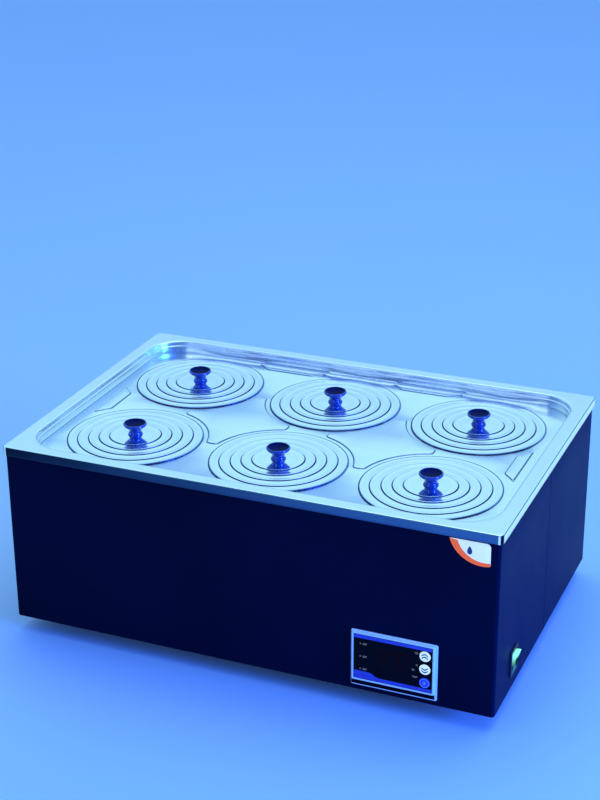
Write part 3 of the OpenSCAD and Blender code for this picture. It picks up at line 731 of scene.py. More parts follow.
def make_deck():
    b = Build()
    outer = rr(560, 360, 42.5, 14)
    panels = [soften(star(sx * PX / 2), 2.9, 1.2) for sx in (-1, 1)]
    for sx in (-1, 1):
        panels.append(soften(trap(sx * PX / 2, 161, 31, 47, 14, 0), 1.9, 0.9))
        panels.append(soften(trap(sx * PX / 2, -161, 31, 47, 14, math.pi), 1.9, 0.9))
        panels.append(soften(trap(sx * 250, 0, 26, 43, 16, -math.pi / 2 * sx), 1.9, 0.9))
    panels = [ccw(p) for p in panels]
    stations = [(sx * PX, sy * PY / 2) for _, sx, sy in STATIONS]
    feet = [inset(p, -0.25) for p in panels]
    out1 = [p for p in rr(559.2, 359.2, 42.1, 14)]
    lip = [circle(x, y, 72.5, 96) for x, y in stations]
    pts, tris = triangulate(out1, lip + feet)
    b.add([(x, y, DECK_TOP) for x, y in pts], tris)
    # pressed panels: a short S-shaped rise to a flat top
    for p in panels:
        rows = []
        for k in range(8):
            u = k / 7
            rise = 1.2 * (3 * u * u - 2 * u ** 3)
            q = inset(p, -0.25 + 2.1 * u)
            rows.append([(x, y, DECK_TOP + rise) for x, y in q])
        # rows 1 to 5, the slopes, take the dark deck_slope steel: painted shade
        b.loft(rows, mis=[0, 1, 1, 1, 1, 1, 0, 0])
        top = [(x, y) for x, y, z in rows[-1]]
        pt, tr = triangulate(top, [])
        b.add([(x, y, DECK_TOP + 1.2) for x, y in pt], tr)
    # outer edge, bottom and the edges of the openings
    rows = [[(x, y, DECK_TOP) for x, y in out1], [(x, y, DECK_TOP - 0.15) for x, y in rr(559.8, 359.8, 42.4, 14)],
            [(x, y, DECK_TOP - 0.45) for x, y in outer], [(x, y, DECK_BOT + 0.3) for x, y in outer], [(x, y, DECK_BOT) for x, y in rr(559.4, 359.4, 42.2, 14)]]
    b.loft(rows)
    low = [circle(x, y, 72.4, 96) for x, y in stations]
    pt, tr = triangulate(rr(559.4, 359.4, 42.2, 14), low)
    b.add([(x, y, DECK_BOT) for x, y in pt], [tuple(reversed(t)) for t in tr])
    for x, y in stations:
        prof = [(72.5, DECK_TOP), (72.15, DECK_TOP - 0.12), (72.0, DECK_TOP - 0.4), (72.0, DECK_BOT + 0.35), (72.12, DECK_BOT + 0.1), (72.4, DECK_BOT)]
        b.loft([[(px, py, z) for px, py in circle(x, y, r, 96)] for r, z in prof])
    b.done("deck", ["deck", "deck_slope"], "deck", ["deck_plate"], angle=40)


# ------------------------------------------------------------------ rings, lids and knobs
def rim_edge(ro):
    """Outer edge of a pressed ring or lid: undercut below, rolled over on top. (r, z, tag); tag 1 takes the dark edge
    steel, painted shade.
    """
    return [(ro - 2.2, 0.02, 1), (ro - 1.3, 0.18, 1), (ro - 0.5, 0.34, 1), (ro - 0.12, 0.42, 1), (ro, 0.52, 1), (ro, 0.74, 1), (ro - 0.07, 0.87, 1), (ro - 0.24, 0.97, 0), (ro - 0.5, 1.0, 0)]


def make_ring(name, x, y, k):
    ro, rn, ri = RING[k], RING[k + 1], RING[k + 1] - 8
    rs = rn + 1.15                          # wall of the pressed seat
    rc = (72.0 if k == 0 else RING[k] - 8) - 0.5
    z = DECK_TOP + k * RISE
    # tag 1 puts the dark edge steel, painted shade, on the inner edge, the collar and the seat corner
    P = [(ri + 0.25, 0.6, 0), (ri + 0.05, 0.52, 1), (ri, 0.35, 1), (ri, -0.15, 1), (ri + 0.06, -0.33, 0), (ri + 0.3, -0.4, 0),
         (rn + 0.55, -0.4, 0), (rn + 0.85, -0.3, 0), (rn + 1.1, -0.02, 0), (rn + 1.3, 0.0, 0),
         (rc - 1.3, 0.0, 0), (rc - 1.06, -0.12, 0), (rc - 1.0, -0.4, 0), (rc - 1.0, 0.2 - COLLAR, 1), (rc - 0.85, -COLLAR, 1), (rc - 0.15, -COLLAR, 1),
         (rc, 0.2 - COLLAR, 0), (rc, -0.12, 0), (rc + 0.08, 0.0, 0)]
    # the outer ring's whole rolled edge takes the dark edge steel: painted shade
    P += [(r, h, 1 if k == 0 else t) for r, h, t in rim_edge(ro)]
    n = 10                                  # the pressed surface between the outer edge and the seat is very slightly hollow
    for i in range(1, n):
        u = i / n
        r = (ro - 0.5) + (rs + 0.4 - ro + 0.5) * u
        P.append((r, 1.0 - 0.13 * math.sin(math.pi * u) ** 2, 0))
    P += [(rs + 0.4, 1.0, 0), (rs + 0.16, 0.95, 0), (rs + 0.02, 0.84, 0), (rs - 0.05, 0.68, 0), (rs - 0.2, 0.6, 1), (rn - 1.6, 0.6, 0)]
    b = Build()
    b.lathe([(r, h) for r, h, t in P], 160 if k < 2 else 128, x, y, z, mis=[t for r, h, t in P])
    return b.done(name, ["ring", "edge"], name, [name], origin=(x, y, z), angle=50)


def make_lid(name, x, y):
    z = DECK_TOP + 4 * RISE
    ro = RING[4]
    rc = ro - 8.5
    # tag 1 puts the dark edge steel, painted shade, on the collar and the outer edge
    P = [(2.2, 0.85, 0), (2.2, 0.1, 0), (2.3, 0.0, 0), (rc - 1.3, 0.0, 0), (rc - 1.06, -0.12, 0), (rc - 1.0, -0.4, 0), (rc - 1.0, 0.2 - COLLAR, 1), (rc - 0.85, -COLLAR, 1),
         (rc - 0.15, -COLLAR, 1), (rc, 0.2 - COLLAR, 0), (rc, -0.12, 0), (rc + 0.08, 0.0, 0)]
    P += rim_edge(ro)
    for i in range(1, 10):
        u = i / 10
        P.append((ro - 0.5 + (9.4 - ro + 0.5) * u, 1.0 - 0.07 * math.sin(math.pi * u) ** 2, 0))
    P += [(9.4, 1.0, 0), (8.6, 1.0, 0), (2.6, 1.0, 0), (2.3, 0.97, 0)]
    b = Build()
    b.lathe([(r, h) for r, h, t in P], 128, x, y, z, mis=[t for r, h, t in P])
    b.done(name, ["lid", "edge"], name, [name], origin=(x, y, z), angle=50)


# foot, waist, flared cap and dished top of a knob: (r, z), 1 marks a sharp edge
KNOB = [(8.3, 0.02, 1), (8.7, 0.25), (8.75, 0.75), (8.45, 1.4), (7.9, 2.2), (7.6, 3.0), (7.5, 4.0), (7.6, 5.3), (8.3, 6.9), (9.5, 8.3), (11.0, 9.6), (12.5, 10.75),
        (13.5, 11.8), (13.9, 12.7), (13.97, 13.4), (13.75, 14.2), (13.3, 14.75), (12.8, 14.95), (12.3, 14.9), (11.7, 14.55), (11.0, 14.0), (10.2, 13.5), (9.0, 13.1),
        (7.2, 12.75), (5.0, 12.5), (2.0, 12.3)]


def make_knob(name, body, x, y):
    z = DECK_TOP + 4 * RISE + 1.0
    b = Build()
    prof = [(0, 0.02), (6, 0.02)] + curve(KNOB, 4) + [(0, 12.25)]
    # the dished top of the cap takes the darker knob_dish plastic: painted shade
    b.lathe(prof, 72, x, y, z, closed=False, mis=[2 if h > 12 and r < 12.4 else 0 for r, h in prof])
    # stud, washer and hexagon nut under the lid
    b.lathe([(0, -5.5), (1.5, -5.5), (1.95, -5.05), (1.95, -4.2), (1.95, 0.02), (0, 0.02)], 32, x, y, z, mi=1, closed=False)
    b.lathe([(2.0, -1.0), (2.0, -1.35), (2.05, -1.4), (4.85, -1.4), (4.95, -1.3), (4.95, -1.08), (4.87, -1.0)], 40, x, y, z, mi=1)
    hexes = []
    for r, h in ((1.97, -1.42), (3.5, -1.42), (4.05, -1.7), (4.05, -3.9), (3.5, -4.2), (1.97, -4.2)):
        hexes.append([(x + r * math.cos(TAU * i / 6), y + r * math.sin(TAU * i / 6), z + h) for i in range(6)])
    b.loft(hexes, closed=True, mi=1)
    b.done(name, ["knob", "zinc", "knob_dish"], body, [name], origin=(x, y, z), angle=38)


# ------------------------------------------------------------------ casing
def casing_point(col, t):
    """Outer point of a casing column with the surface moved in by t. col is (side, value) or ("corner", sx, sy, angle)."""
    r = max(R_CAS - t, 0.4)
    if col[0] == "corner":
        _, sx, sy, a = col
        cx, cy = sx * (CAS_W / 2 - t - r), sy * (CAS_D / 2 - t - r)
        return cx + r * math.cos(a), cy + r * math.sin(a)
    _, x, y = col
    if abs(abs(x) - CAS_W / 2) < 1e-6:
        lim = CAS_D / 2 - t - r
        return math.copysign(CAS_W / 2 - t, x), max(-lim, min(lim, y))
    lim = CAS_W / 2 - t - r
    return max(-lim, min(lim, x)), math.copysign(CAS_D / 2 - t, y)


def make_casing(s):
    """One half of the wrap-around casing; s is -1 for the front half."""
    hx, hy, n = CAS_W / 2, CAS_D / 2, 10
    cut_side = [sorted([-127 - 11.7, -127 + 11.7])] if s < 0 else []
    cut_face = [(136.1, 228.8)] if s < 0 else [(-229.2, -200.8)]
    z_side = [(39.3, 67.1)]
    z_face = [(36.0, 93.3)] if s < 0 else [(51.8, 72.2)]
    seam_y = SEAM - 0.25 if s < 0 else SEAM + 0.25
    cols = []
    ys = [seam_y, seam_y + s * 1.5, s * 60] + [v for c in cut_side for v in c] + [s * (hy - R_CAS - 1.5)]
    ys = sorted(set(ys), reverse=(s < 0))                        # away from the seam
    xs = sorted(set([-hx + R_CAS + 1.5, -200, 0, 200, hx - R_CAS - 1.5] + [v for c in cut_face for v in c]))
    side = [y for y in ys]
    # left seam, left side, corner, face, corner, right side, right seam
    for y in side:
        cols.append(("side", -hx, y))
    a0, a1 = (math.pi, 1.5 * math.pi) if s < 0 else (math.pi, 0.5 * math.pi)
    for i in range(n + 1):
        cols.append(("corner", -1, s, a0 + (a1 - a0) * i / n))
    for x in xs:
        cols.append(("face", x, s * hy))
    a0, a1 = (1.5 * math.pi, TAU) if s < 0 else (0.5 * math.pi, 0.0)
    for i in range(n + 1):
        cols.append(("corner", 1, s, a0 + (a1 - a0) * i / n))
    for y in reversed(side):
        cols.append(("side", hx, y))
    zs = sorted(set([20.0, 20.5, 24.0, 120.0, 200.0, 241.7] + [v for c in (z_side if s < 0 else []) for v in c] + [v for c in z_face for v in c]))

    def hole(i, j):
        c0, c1 = cols[i], cols[i + 1]
        zm = (zs[j] + zs[j + 1]) / 2
        if c0[0] == "face" and c1[0] == "face":
            xm = (c0[1] + c1[1]) / 2
            return any(a < xm < b_ for a, b_ in cut_face) and any(a < zm < b_ for a, b_ in z_face)
        if s < 0 and c0[0] == "side" and c1[0] == "side" and c0[1] > 0 and c1[1] > 0:
            ym = (c0[2] + c1[2]) / 2
            return any(a < ym < b_ for a, b_ in cut_side) and any(a < zm < b_ for a, b_ in z_side)
        return False

    b = Build()
    nc, nz = len(cols), len(zs)
    verts, idx = [], {}
    for layer, t in ((0, 0.0), (1, SHEET)):
        for i, c in enumerate(cols):
            x, y = casing_point(c, t)
            for j, z in enumerate(zs):
                idx[(layer, i, j)] = len(verts)
                verts.append((x, y, z))
    faces = []
    solid = {(i, j): not hole(i, j) for i in range(nc - 1) for j in range(nz - 1)}
    for (i, j), ok in solid.items():
        if not ok:
            continue
        a, b_, c, d = (i, j), (i + 1, j), (i + 1, j + 1), (i, j + 1)
        faces.append(tuple(idx[(0, *p)] for p in (a, b_, c, d)))
        faces.append(tuple(idx[(1, *p)] for p in (d, c, b_, a)))
        for (p, q), nb in (((a, b_), (i, j - 1)), ((b_, c), (i + 1, j)), ((c, d), (i, j + 1)), ((d, a), (i - 1, j))):
            if not solid.get(nb, False):
                faces.append((idx[(0, *p)], idx[(1, *p)], idx[(1, *q)], idx[(0, *q)]))
    b.add(verts, faces)
    name = "casing_front_shell" if s < 0 else "casing_rear_shell"
    # folded-in bottom flange
    rows = []
    for t, z in ((1.25, 21.3), (14.0, 21.3), (14.4, 21.7), (14.4, 22.2), (14.0, 22.5), (1.25, 22.5)):
        rows.append([(*casing_point(c, t), z) for c in cols])
    m = len(cols)
    b.loft(rows, around=False, closed=True)
    for j in (0, m - 1):
        ring_ = [rows[k][j] for k in range(len(rows))]
        b.add(ring_, [tuple(range(len(ring_)))])
    if s > 0:   # strips that lap behind the front half
        for sx in (-1, 1):
            x0, x1 = sorted((sx * (hx - 2 * SHEET - 0.02), sx * (hx - SHEET - 0.02)))
            b.box(x0, x1, SEAM - 8, SEAM + 12, 23, 240)
    b.done(name, "paint", "root", ["casing_front" if s < 0 else "casing_rear"], angle=30, bevel=0.5, seg=3, bangle=60)


# ------------------------------------------------------------------ feet
def make_feet():
    b = Build()
    prof = [(2.7, 19.9), (2.7, 10.2), (2.8, 10.0), (6.8, 10.0), (7.0, 9.8), (7.0, 0.8), (7.4, 0.2), (8.0, 0.0), (14.2, 0.0), (15.0, 0.25), (15.5, 0.9),
            (15.75, 3.0), (15.55, 3.4), (15.6, 3.9), (15.95, 4.2), (16.25, 7.0), (16.05, 7.4), (16.1, 7.9), (16.45, 8.2), (16.8, 11.0), (16.6, 11.4), (16.65, 11.9),
            (17.0, 12.2), (17.6, 17.8), (17.9, 18.6), (18.0, 19.2), (17.8, 19.75), (17.4, 19.95), (3.0, 19.95)]
    for x in (-236, 236):
        for y in (-136, 136):
            b.lathe(prof, 64, x, y, 0)
    b.done("rubber_feet", "rubber", "root", ["feet"], angle=35)


# ------------------------------------------------------------------ controller
CX, CZ, CW, CH = 132.3, 26.6, 100.5, 70.0
FRONT = -197.5
KEY_X, KEY_R = 219.0, 6.2
KEY_Z = {"button_up": 81.4, "button_down": 65.1, "button_set": 48.3}


def on_front(y0):
    """Places a drawing made in X and Z, with its height towards -Y, on the plane y = y0."""
    return lambda x, z, h: (x, y0 - h, z)


def make_controller():
    b = Build()
    fx, fz = CX + CW / 2, CZ + CH / 2
    # flange with softly rounded edges
    rows = []
    for t, h in ((0.3, 0.02), (0.0, 0.25), (0.0, 1.0), (0.12, 1.3), (0.4, 1.48), (0.8, 1.5)):
        rows.append([(x, FRONT - h, z) for x, z in rr(CW - 2 * t, CH - 2 * t, 2.0 - t, 6, fx, fz)])
    inner_w, inner_h = 92.3, 57.1
    wx, wz = CX + 1.5 + 96.1 / 2, CZ + 7.6 + 60.9 / 2
    # step from the flange up to the frame, over its rounded lip and down to the window
    gx, gz = CX + 3.7 + 91.7 / 2, CZ + 9.8 + 56.5 / 2
    def F(w, h_, r, hgt, cx=wx, cz=wz):
        rows.append([(x, FRONT - hgt, z) for x, z in rr(w, h_, r, 6, cx, cz)])
    F(97.3, 62.1, 1.6, 1.5); F(96.5, 61.3, 1.4, 1.6); F(96.1, 60.9, 1.3, 1.9)
    F(96.1, 60.9, 1.3, 3.2)
    for i in range(1, 5):
        a = math.pi / 2 * i / 4
        t = 0.8 - 0.8 * math.cos(a)
        F(96.1 - 2 * t, 60.9 - 2 * t, 1.3, 3.2 + 0.8 * math.sin(a))
    def G(w, h_, r, hgt):
        F(w, h_, r, hgt, gx, gz)
    G(92.9, 57.7, 0.9, 4.0); G(92.2, 57.0, 0.7, 3.85); G(91.8, 56.6, 0.6, 3.5); G(91.7, 56.5, 0.5, 1.0)
    b.loft(rows, cap0=True, cap1=True)
    # body behind the panel with a lid seam pressed round it
    b2 = [(0.0, 1.0), (0.0, -3.0), (0.5, -3.4), (0.5, -4.2), (0.0, -4.6), (0.0, -59.0), (0.6, -60.0)]
    bx, bz = CX + 4.1 + 92.1 / 2, CZ + 9.7 + 56.7 / 2
    body = [[(x, FRONT - h, z) for x, z in rr(92.1 - 2 * t, 56.7 - 2 * t, 1.5, 5, bx, bz)] for t, h in b2]
    b.loft(body, cap0=True, cap1=True, mi=1)
    b.done("controller_bezel", ["bezel", "black"], "root", ["controller_case"], angle=38)

    # dark strip on the flange, below and to the left of the frame: painted shade on the flange bars that face down and
    # left
    b = Build()
    strip = [(CX + 0.5, CZ + 1.4), (CX + CW - 2.6, CZ + 1.4), (CX + CW - 2.6, CZ + 7.1), (CX + 1.15, CZ + 7.1), (CX + 1.15, CZ + CH - 1.6), (CX + 0.5, CZ + CH - 1.6)]
    plate(b, ccw(strip), [], on_front(FRONT - 1.5), 0.0, 0.12)
    b.done("controller_flange_shade", "gasket", "root", angle=35)

    # window: glossy black plate with three holes
    b = Build()
    wx0, wx1, wz0, wz1 = CX + 3.8, CX + 3.8 + 91.5, CZ + 9.9, CZ + 9.9 + 56.3
    y0 = FRONT - 4.0 + 2.4                # rear face of the window
    outer = rr(91.5, 56.3, 0.8, 4, (wx0 + wx1) / 2, (wz0 + wz1) / 2)
    holes = [circle(KEY_X, z, KEY_R + 0.3, 48) for z in KEY_Z.values()]
    plate(b, outer, holes, on_front(y0), 0.0, 2.0, 0, 0.18)
    b.done("display_window", "window", "root", ["controller_window"], angle=35)

    # printed bands, marks and the unlit figures on the window
    yf = FRONT - 4.0 + 0.4
    W, H = wx1 - wx0, wz1 - wz0
    b = Build()
    top = [(wx0 + 0.5, wz1 - 0.5), (wx0 + 0.5, wz1 - 4.6), (wx1 - 0.5, wz1 - 4.2), (wx1 - 0.5, wz1 - 0.5)]
    plate(b, ccw(top), [], on_front(yf), 0.0, 0.10)
    low = [(wx0 + 0.5, wz0 + 0.5), (wx1 - 0.5, wz0 + 0.5), (wx1 - 0.5, wz0 + 4.6)]
    for i in range(19):                    # upper edge of the lower band, with its soft S towards the left
        u = i / 18
        e = 1 / (1 + math.exp(-(u - 0.5) * 10))
        low.append((wx0 + W * (0.36 - 0.20 * u), wz0 + 4.9 + 5.2 * e))
    low.append((wx0 + 0.5, wz0 + 10.3))
    plate(b, ccw(low), [], on_front(yf), 0.0, 0.10)
    b.done("window_bands", "strip", "root", angle=35)

    b = Build()
    def dash(x, z, w, h=1.0):
        plate(b, rr(w, h, h * 0.45, 3, x, z), [], on_front(yf), 0.0, 0.10)
    for zc in (0.80, 0.515, 0.235):        # three indicator marks at the left
        z = wz0 + H * zc
        dash(wx0 + 8.2, z, 1.6, 1.6)
        dash(wx0 + 13.4, z + 0.55, 5.0, 0.8)
        dash(wx0 + 13.0, z - 0.75, 4.2, 0.8)
    for x, z, w in ((wx0 + 73.2, wz0 + 47.2, 4.2), (wx0 + 73.6, wz0 + 32.2, 2.4), (wx0 + 69.4, wz0 + 25.6, 3.6), (wx0 + 71.6, wz0 + 17.0, 6.6)):
        dash(x, z + 0.6, w, 0.8)
        dash(x + 0.3, z - 0.7, w * 0.7, 0.8)
    b.done("window_marks", "mark", "root", angle=35)

    b = Build()
    def digit(x, z, w, h, segs):
        t = 1.5
        m = h / 2
        S7 = {"a": (0, h, w, h), "b": (w, m, w, h), "c": (w, 0, w, m), "d": (0, 0, w, 0), "e": (0, 0, 0, m), "f": (0, m, 0, h), "g": (0, m, w, m)}
        for q in segs:
            x0, z0, x1, z1 = S7[q]
            horiz = z0 == z1
            g = 0.95
            if horiz:
                p = [(x0 + g, z0), (x0 + g + t / 2, z0 - t / 2), (x1 - g - t / 2, z0 - t / 2), (x1 - g, z0), (x1 - g - t / 2, z0 + t / 2), (x0 + g + t / 2, z0 + t / 2)]
            else:
                p = [(x0, z0 + g), (x0 + t / 2, z0 + g + t / 2), (x0 + t / 2, z1 - g - t / 2), (x0, z1 - g), (x0 - t / 2, z1 - g - t / 2), (x0 - t / 2, z0 + g + t / 2)]
            p = [(x + a + 0.09 * c, z + c) for a, c in p]
            plate(b, ccw(p), [], on_front(yf), 0.0, 0.08)
    dz = wz0 + 24.0
    digit(wx0 + 27.5, dz, 8.6, 18.5, "abgcd")
    digit(wx0 + 40.0, dz, 8.6, 18.5, "abc")
    digit(wx0 + 52.5, dz, 8.6, 18.5, "abcdef")
    plate(b, circle(wx0 + 50.3, dz - 0.3, 0.9, 16), [], on_front(yf), 0.0, 0.08)
    b.done("figures", "red", "root", angle=35)


def chevron(x, z, w, h, t, up):
    """A curved double-ended arrow line, like a shallow arch."""
    n, top, bot = 14, [], []
    for i in range(n + 1):
        u = -1 + 2 * i / n
        y = h * (1 - abs(u) ** 1.5) * (1 if up else -1)
        top.append((x + w / 2 * u, z + y + t / 2))
        bot.append((x + w / 2 * u, z + y - t / 2))
    return ccw(bot + top[::-1])


def make_buttons():
    for name, z in KEY_Z.items():
        y = FRONT - 4.4
        b = Build()
        # cap with a soft edge and a shallow finger dish, collar behind the window, stem
        prof = [(0, 8.6 + 0.9), (2.0, 9.5), (2.05, 3.8), (2.05, 3.45), (7.0, 3.4), (7.2, 3.2), (7.2, 2.55), (7.05, 2.42), (6.25, 2.4), (6.2, 2.2), (6.2, 0.75),
                (6.12, 0.4), (5.85, 0.12), (5.4, 0.0), (4.9, 0.02), (3.6, 0.14), (1.8, 0.22), (0, 0.25)]
        b.lathe([(r, h) for r, h in prof], 56, KEY_X, y, z, axis="y", closed=False)
        if name == "button_set":
            b.lathe([(5.35, 0.16), (5.35, -0.0), (5.25, -0.06), (4.75, -0.04), (4.65, 0.1), (4.7, 0.3)], 56, KEY_X, y, z, axis="y", mi=1)
            for k in (-1, 0, 1):
                plate(b, rr(4.4 - abs(k) * 1.2, 0.75, 0.35, 3, KEY_X, z + k * 1.55), [], on_front(y + 0.32), 0.0, 0.25, 1)
        else:
            up = name == "button_up"
            for dz in (-1.85, 1.45):
                plate(b, chevron(KEY_X, z + dz - (0.8 if up else -0.8), 7.6, 2.4, 1.5, up), [], on_front(y + 0.32), 0.0, 0.25, 1)
        mats = ["blue", "key_mark"] if name == "button_set" else ["button", "key_ink"]
        b.done(name + "_cap", mats, name, [name], angle=35)


# ------------------------------------------------------------------ switch
SY, SZ = -127.0, 53.2
PIV = (294.5, SY, SZ)


def make_switch():
    b = Build()
    rows = []
    def L(w, h, r, x):
        rows.append([(x, y, z) for y, z in rr(w, h, r, 6, SY, SZ)])
    L(22.0, 26.4, 1.0, 273.5); L(23.0, 27.4, 1.4, 274.1); L(23.0, 27.4, 1.4, 297.52); L(25.4, 31.4, 1.8, 297.52); L(26.0, 32.0, 2.0, 297.8); L(26.0, 32.0, 2.0, 298.7)
    L(25.7, 31.7, 1.9, 299.1); L(25.1, 31.1, 1.8, 299.4); L(24.4, 30.4, 1.6, 299.5); L(21.6, 28.0, 0.9, 299.5); L(20.9, 27.3, 0.7, 299.35); L(20.5, 26.9, 0.5, 298.9)
    L(20.4, 26.8, 0.5, 284.7)
    b.loft(rows, cap0=True, cap1=True)
    # two spade terminals at the back of the housing
    for z in (-6.5, 6.5):
        b.box(264.0, 273.8, SY - 2.4, SY + 2.4, SZ + z - 0.4, SZ + z + 0.4, 1)
    b.done("switch_body", ["black", "pin"], "root", ["switch_housing"], angle=38)

    b = Build()
    # side outline of the rocker: two slightly hollow faces that meet in the middle
    face = curve([(7.3, 11.5, 1), (6.35, 8.6), (5.65, 5.2), (5.2, 1.4), (5.12, 0.0), (5.2, -1.4), (5.65, -5.2), (6.35, -8.6), (7.3, -11.5, 1)], 4)
    outline = face + [(6.9, -11.75), (5.5, -11.8), (1.5, -10.3), (-3.0, -8.0), (-3.0, 8.0), (1.5, 10.3), (5.5, 11.8), (6.9, 11.75)]
    c, s_ = math.cos(12 * D2R), math.sin(12 * D2R)
    rows = []
    for y, t in ((-9.8, 0.55), (-9.62, 0.2), (-9.2, 0.0), (0, 0.0), (9.2, 0.0), (9.62, 0.2), (9.8, 0.55)):
        q = outline if t == 0 else inset(ccw(outline), t) if area2(outline) > 0 else [p for p in inset(list(reversed(outline)), t)][::-1]
        rows.append([(PIV[0] + px * c + pz * s_, SY + y, PIV[2] - px * s_ + pz * c) for px, pz in q])
    b.loft(rows, cap0=True, cap1=True)
    b.lathe([(0, -11.2), (1.2, -11.2), (1.5, -10.9), (1.5, 10.9), (1.2, 11.2), (0, 11.2)], 32, PIV[0], SY, PIV[2], axis="y", closed=False, mi=1)
    b.done("rocker_cap", ["rocker", "black"], "rocker", ["switch_rocker"], origin=PIV, angle=30)


# ------------------------------------------------------------------ badge
def make_badge():
    b = Build()
    # plain plate whose lower left is one large arc
    def arc(cx, cz, r, a0, a1, n=10):
        return [(cx + r * math.cos((a0 + (a1 - a0) * i / n) * D2R), cz + r * math.sin((a0 + (a1 - a0) * i / n) * D2R)) for i in range(n + 1)]
    big = [(278 + 38.2 * math.cos(a * D2R), 240.7 + 38.2 * math.sin(a * D2R)) for a in [196.8 + (277.5 - 196.8) * i / 40 for i in range(41)]]
    outline = big + arc(284.9, 205.1, 2.0, -70, 0, 6) + arc(281.9, 225.0, 4.9, 0, 90, 10) + arc(243.2, 229.0, 0.9, 90, 170, 4)
    plate(b, ccw(outline), [], on_front(FRONT), 0.0, 0.5, 0, 0.2)
    b.done("badge_plate", "badge", "root", ["badge"], angle=35)
    b = Build()
    # plain band along the arc
    def bow(r, cx, cz, a0, a1, n=36):
        return [(cx + r * math.cos((a0 + (a1 - a0) * i / n) * D2R), cz + r * math.sin((a0 + (a1 - a0) * i / n) * D2R)) for i in range(n + 1)]
    band = (bow(38.15, 278, 240.7, 197.0, 277.3, 36) + arc(284.9, 205.1, 1.95, -68, -2, 6) + [(286.85, 207.6)]
            + bow(31.6, 280.3, 238.6, 274, 198.5, 36))
    plate(b, ccw(band), [], on_front(FRONT - 0.5), 0.0, 0.08)
    b.done("badge_band", "orange", "root", angle=35)
    b = Build()
    # a plain drop
    n, drop = 28, []
    for i in range(n):
        a = TAU * i / n
        r = 3.6
        drop.append((264 + r * math.sin(a) * math.sin(a / 2) ** 0.9, 219.5 - 5.0 * math.cos(a) * -1 - 0.5))
    plate(b, ccw(soften(drop, 0.4, 0.5)), [], on_front(FRONT - 0.5), 0.0, 0.08)
    b.done("badge_drop", "ink", "root", angle=35)


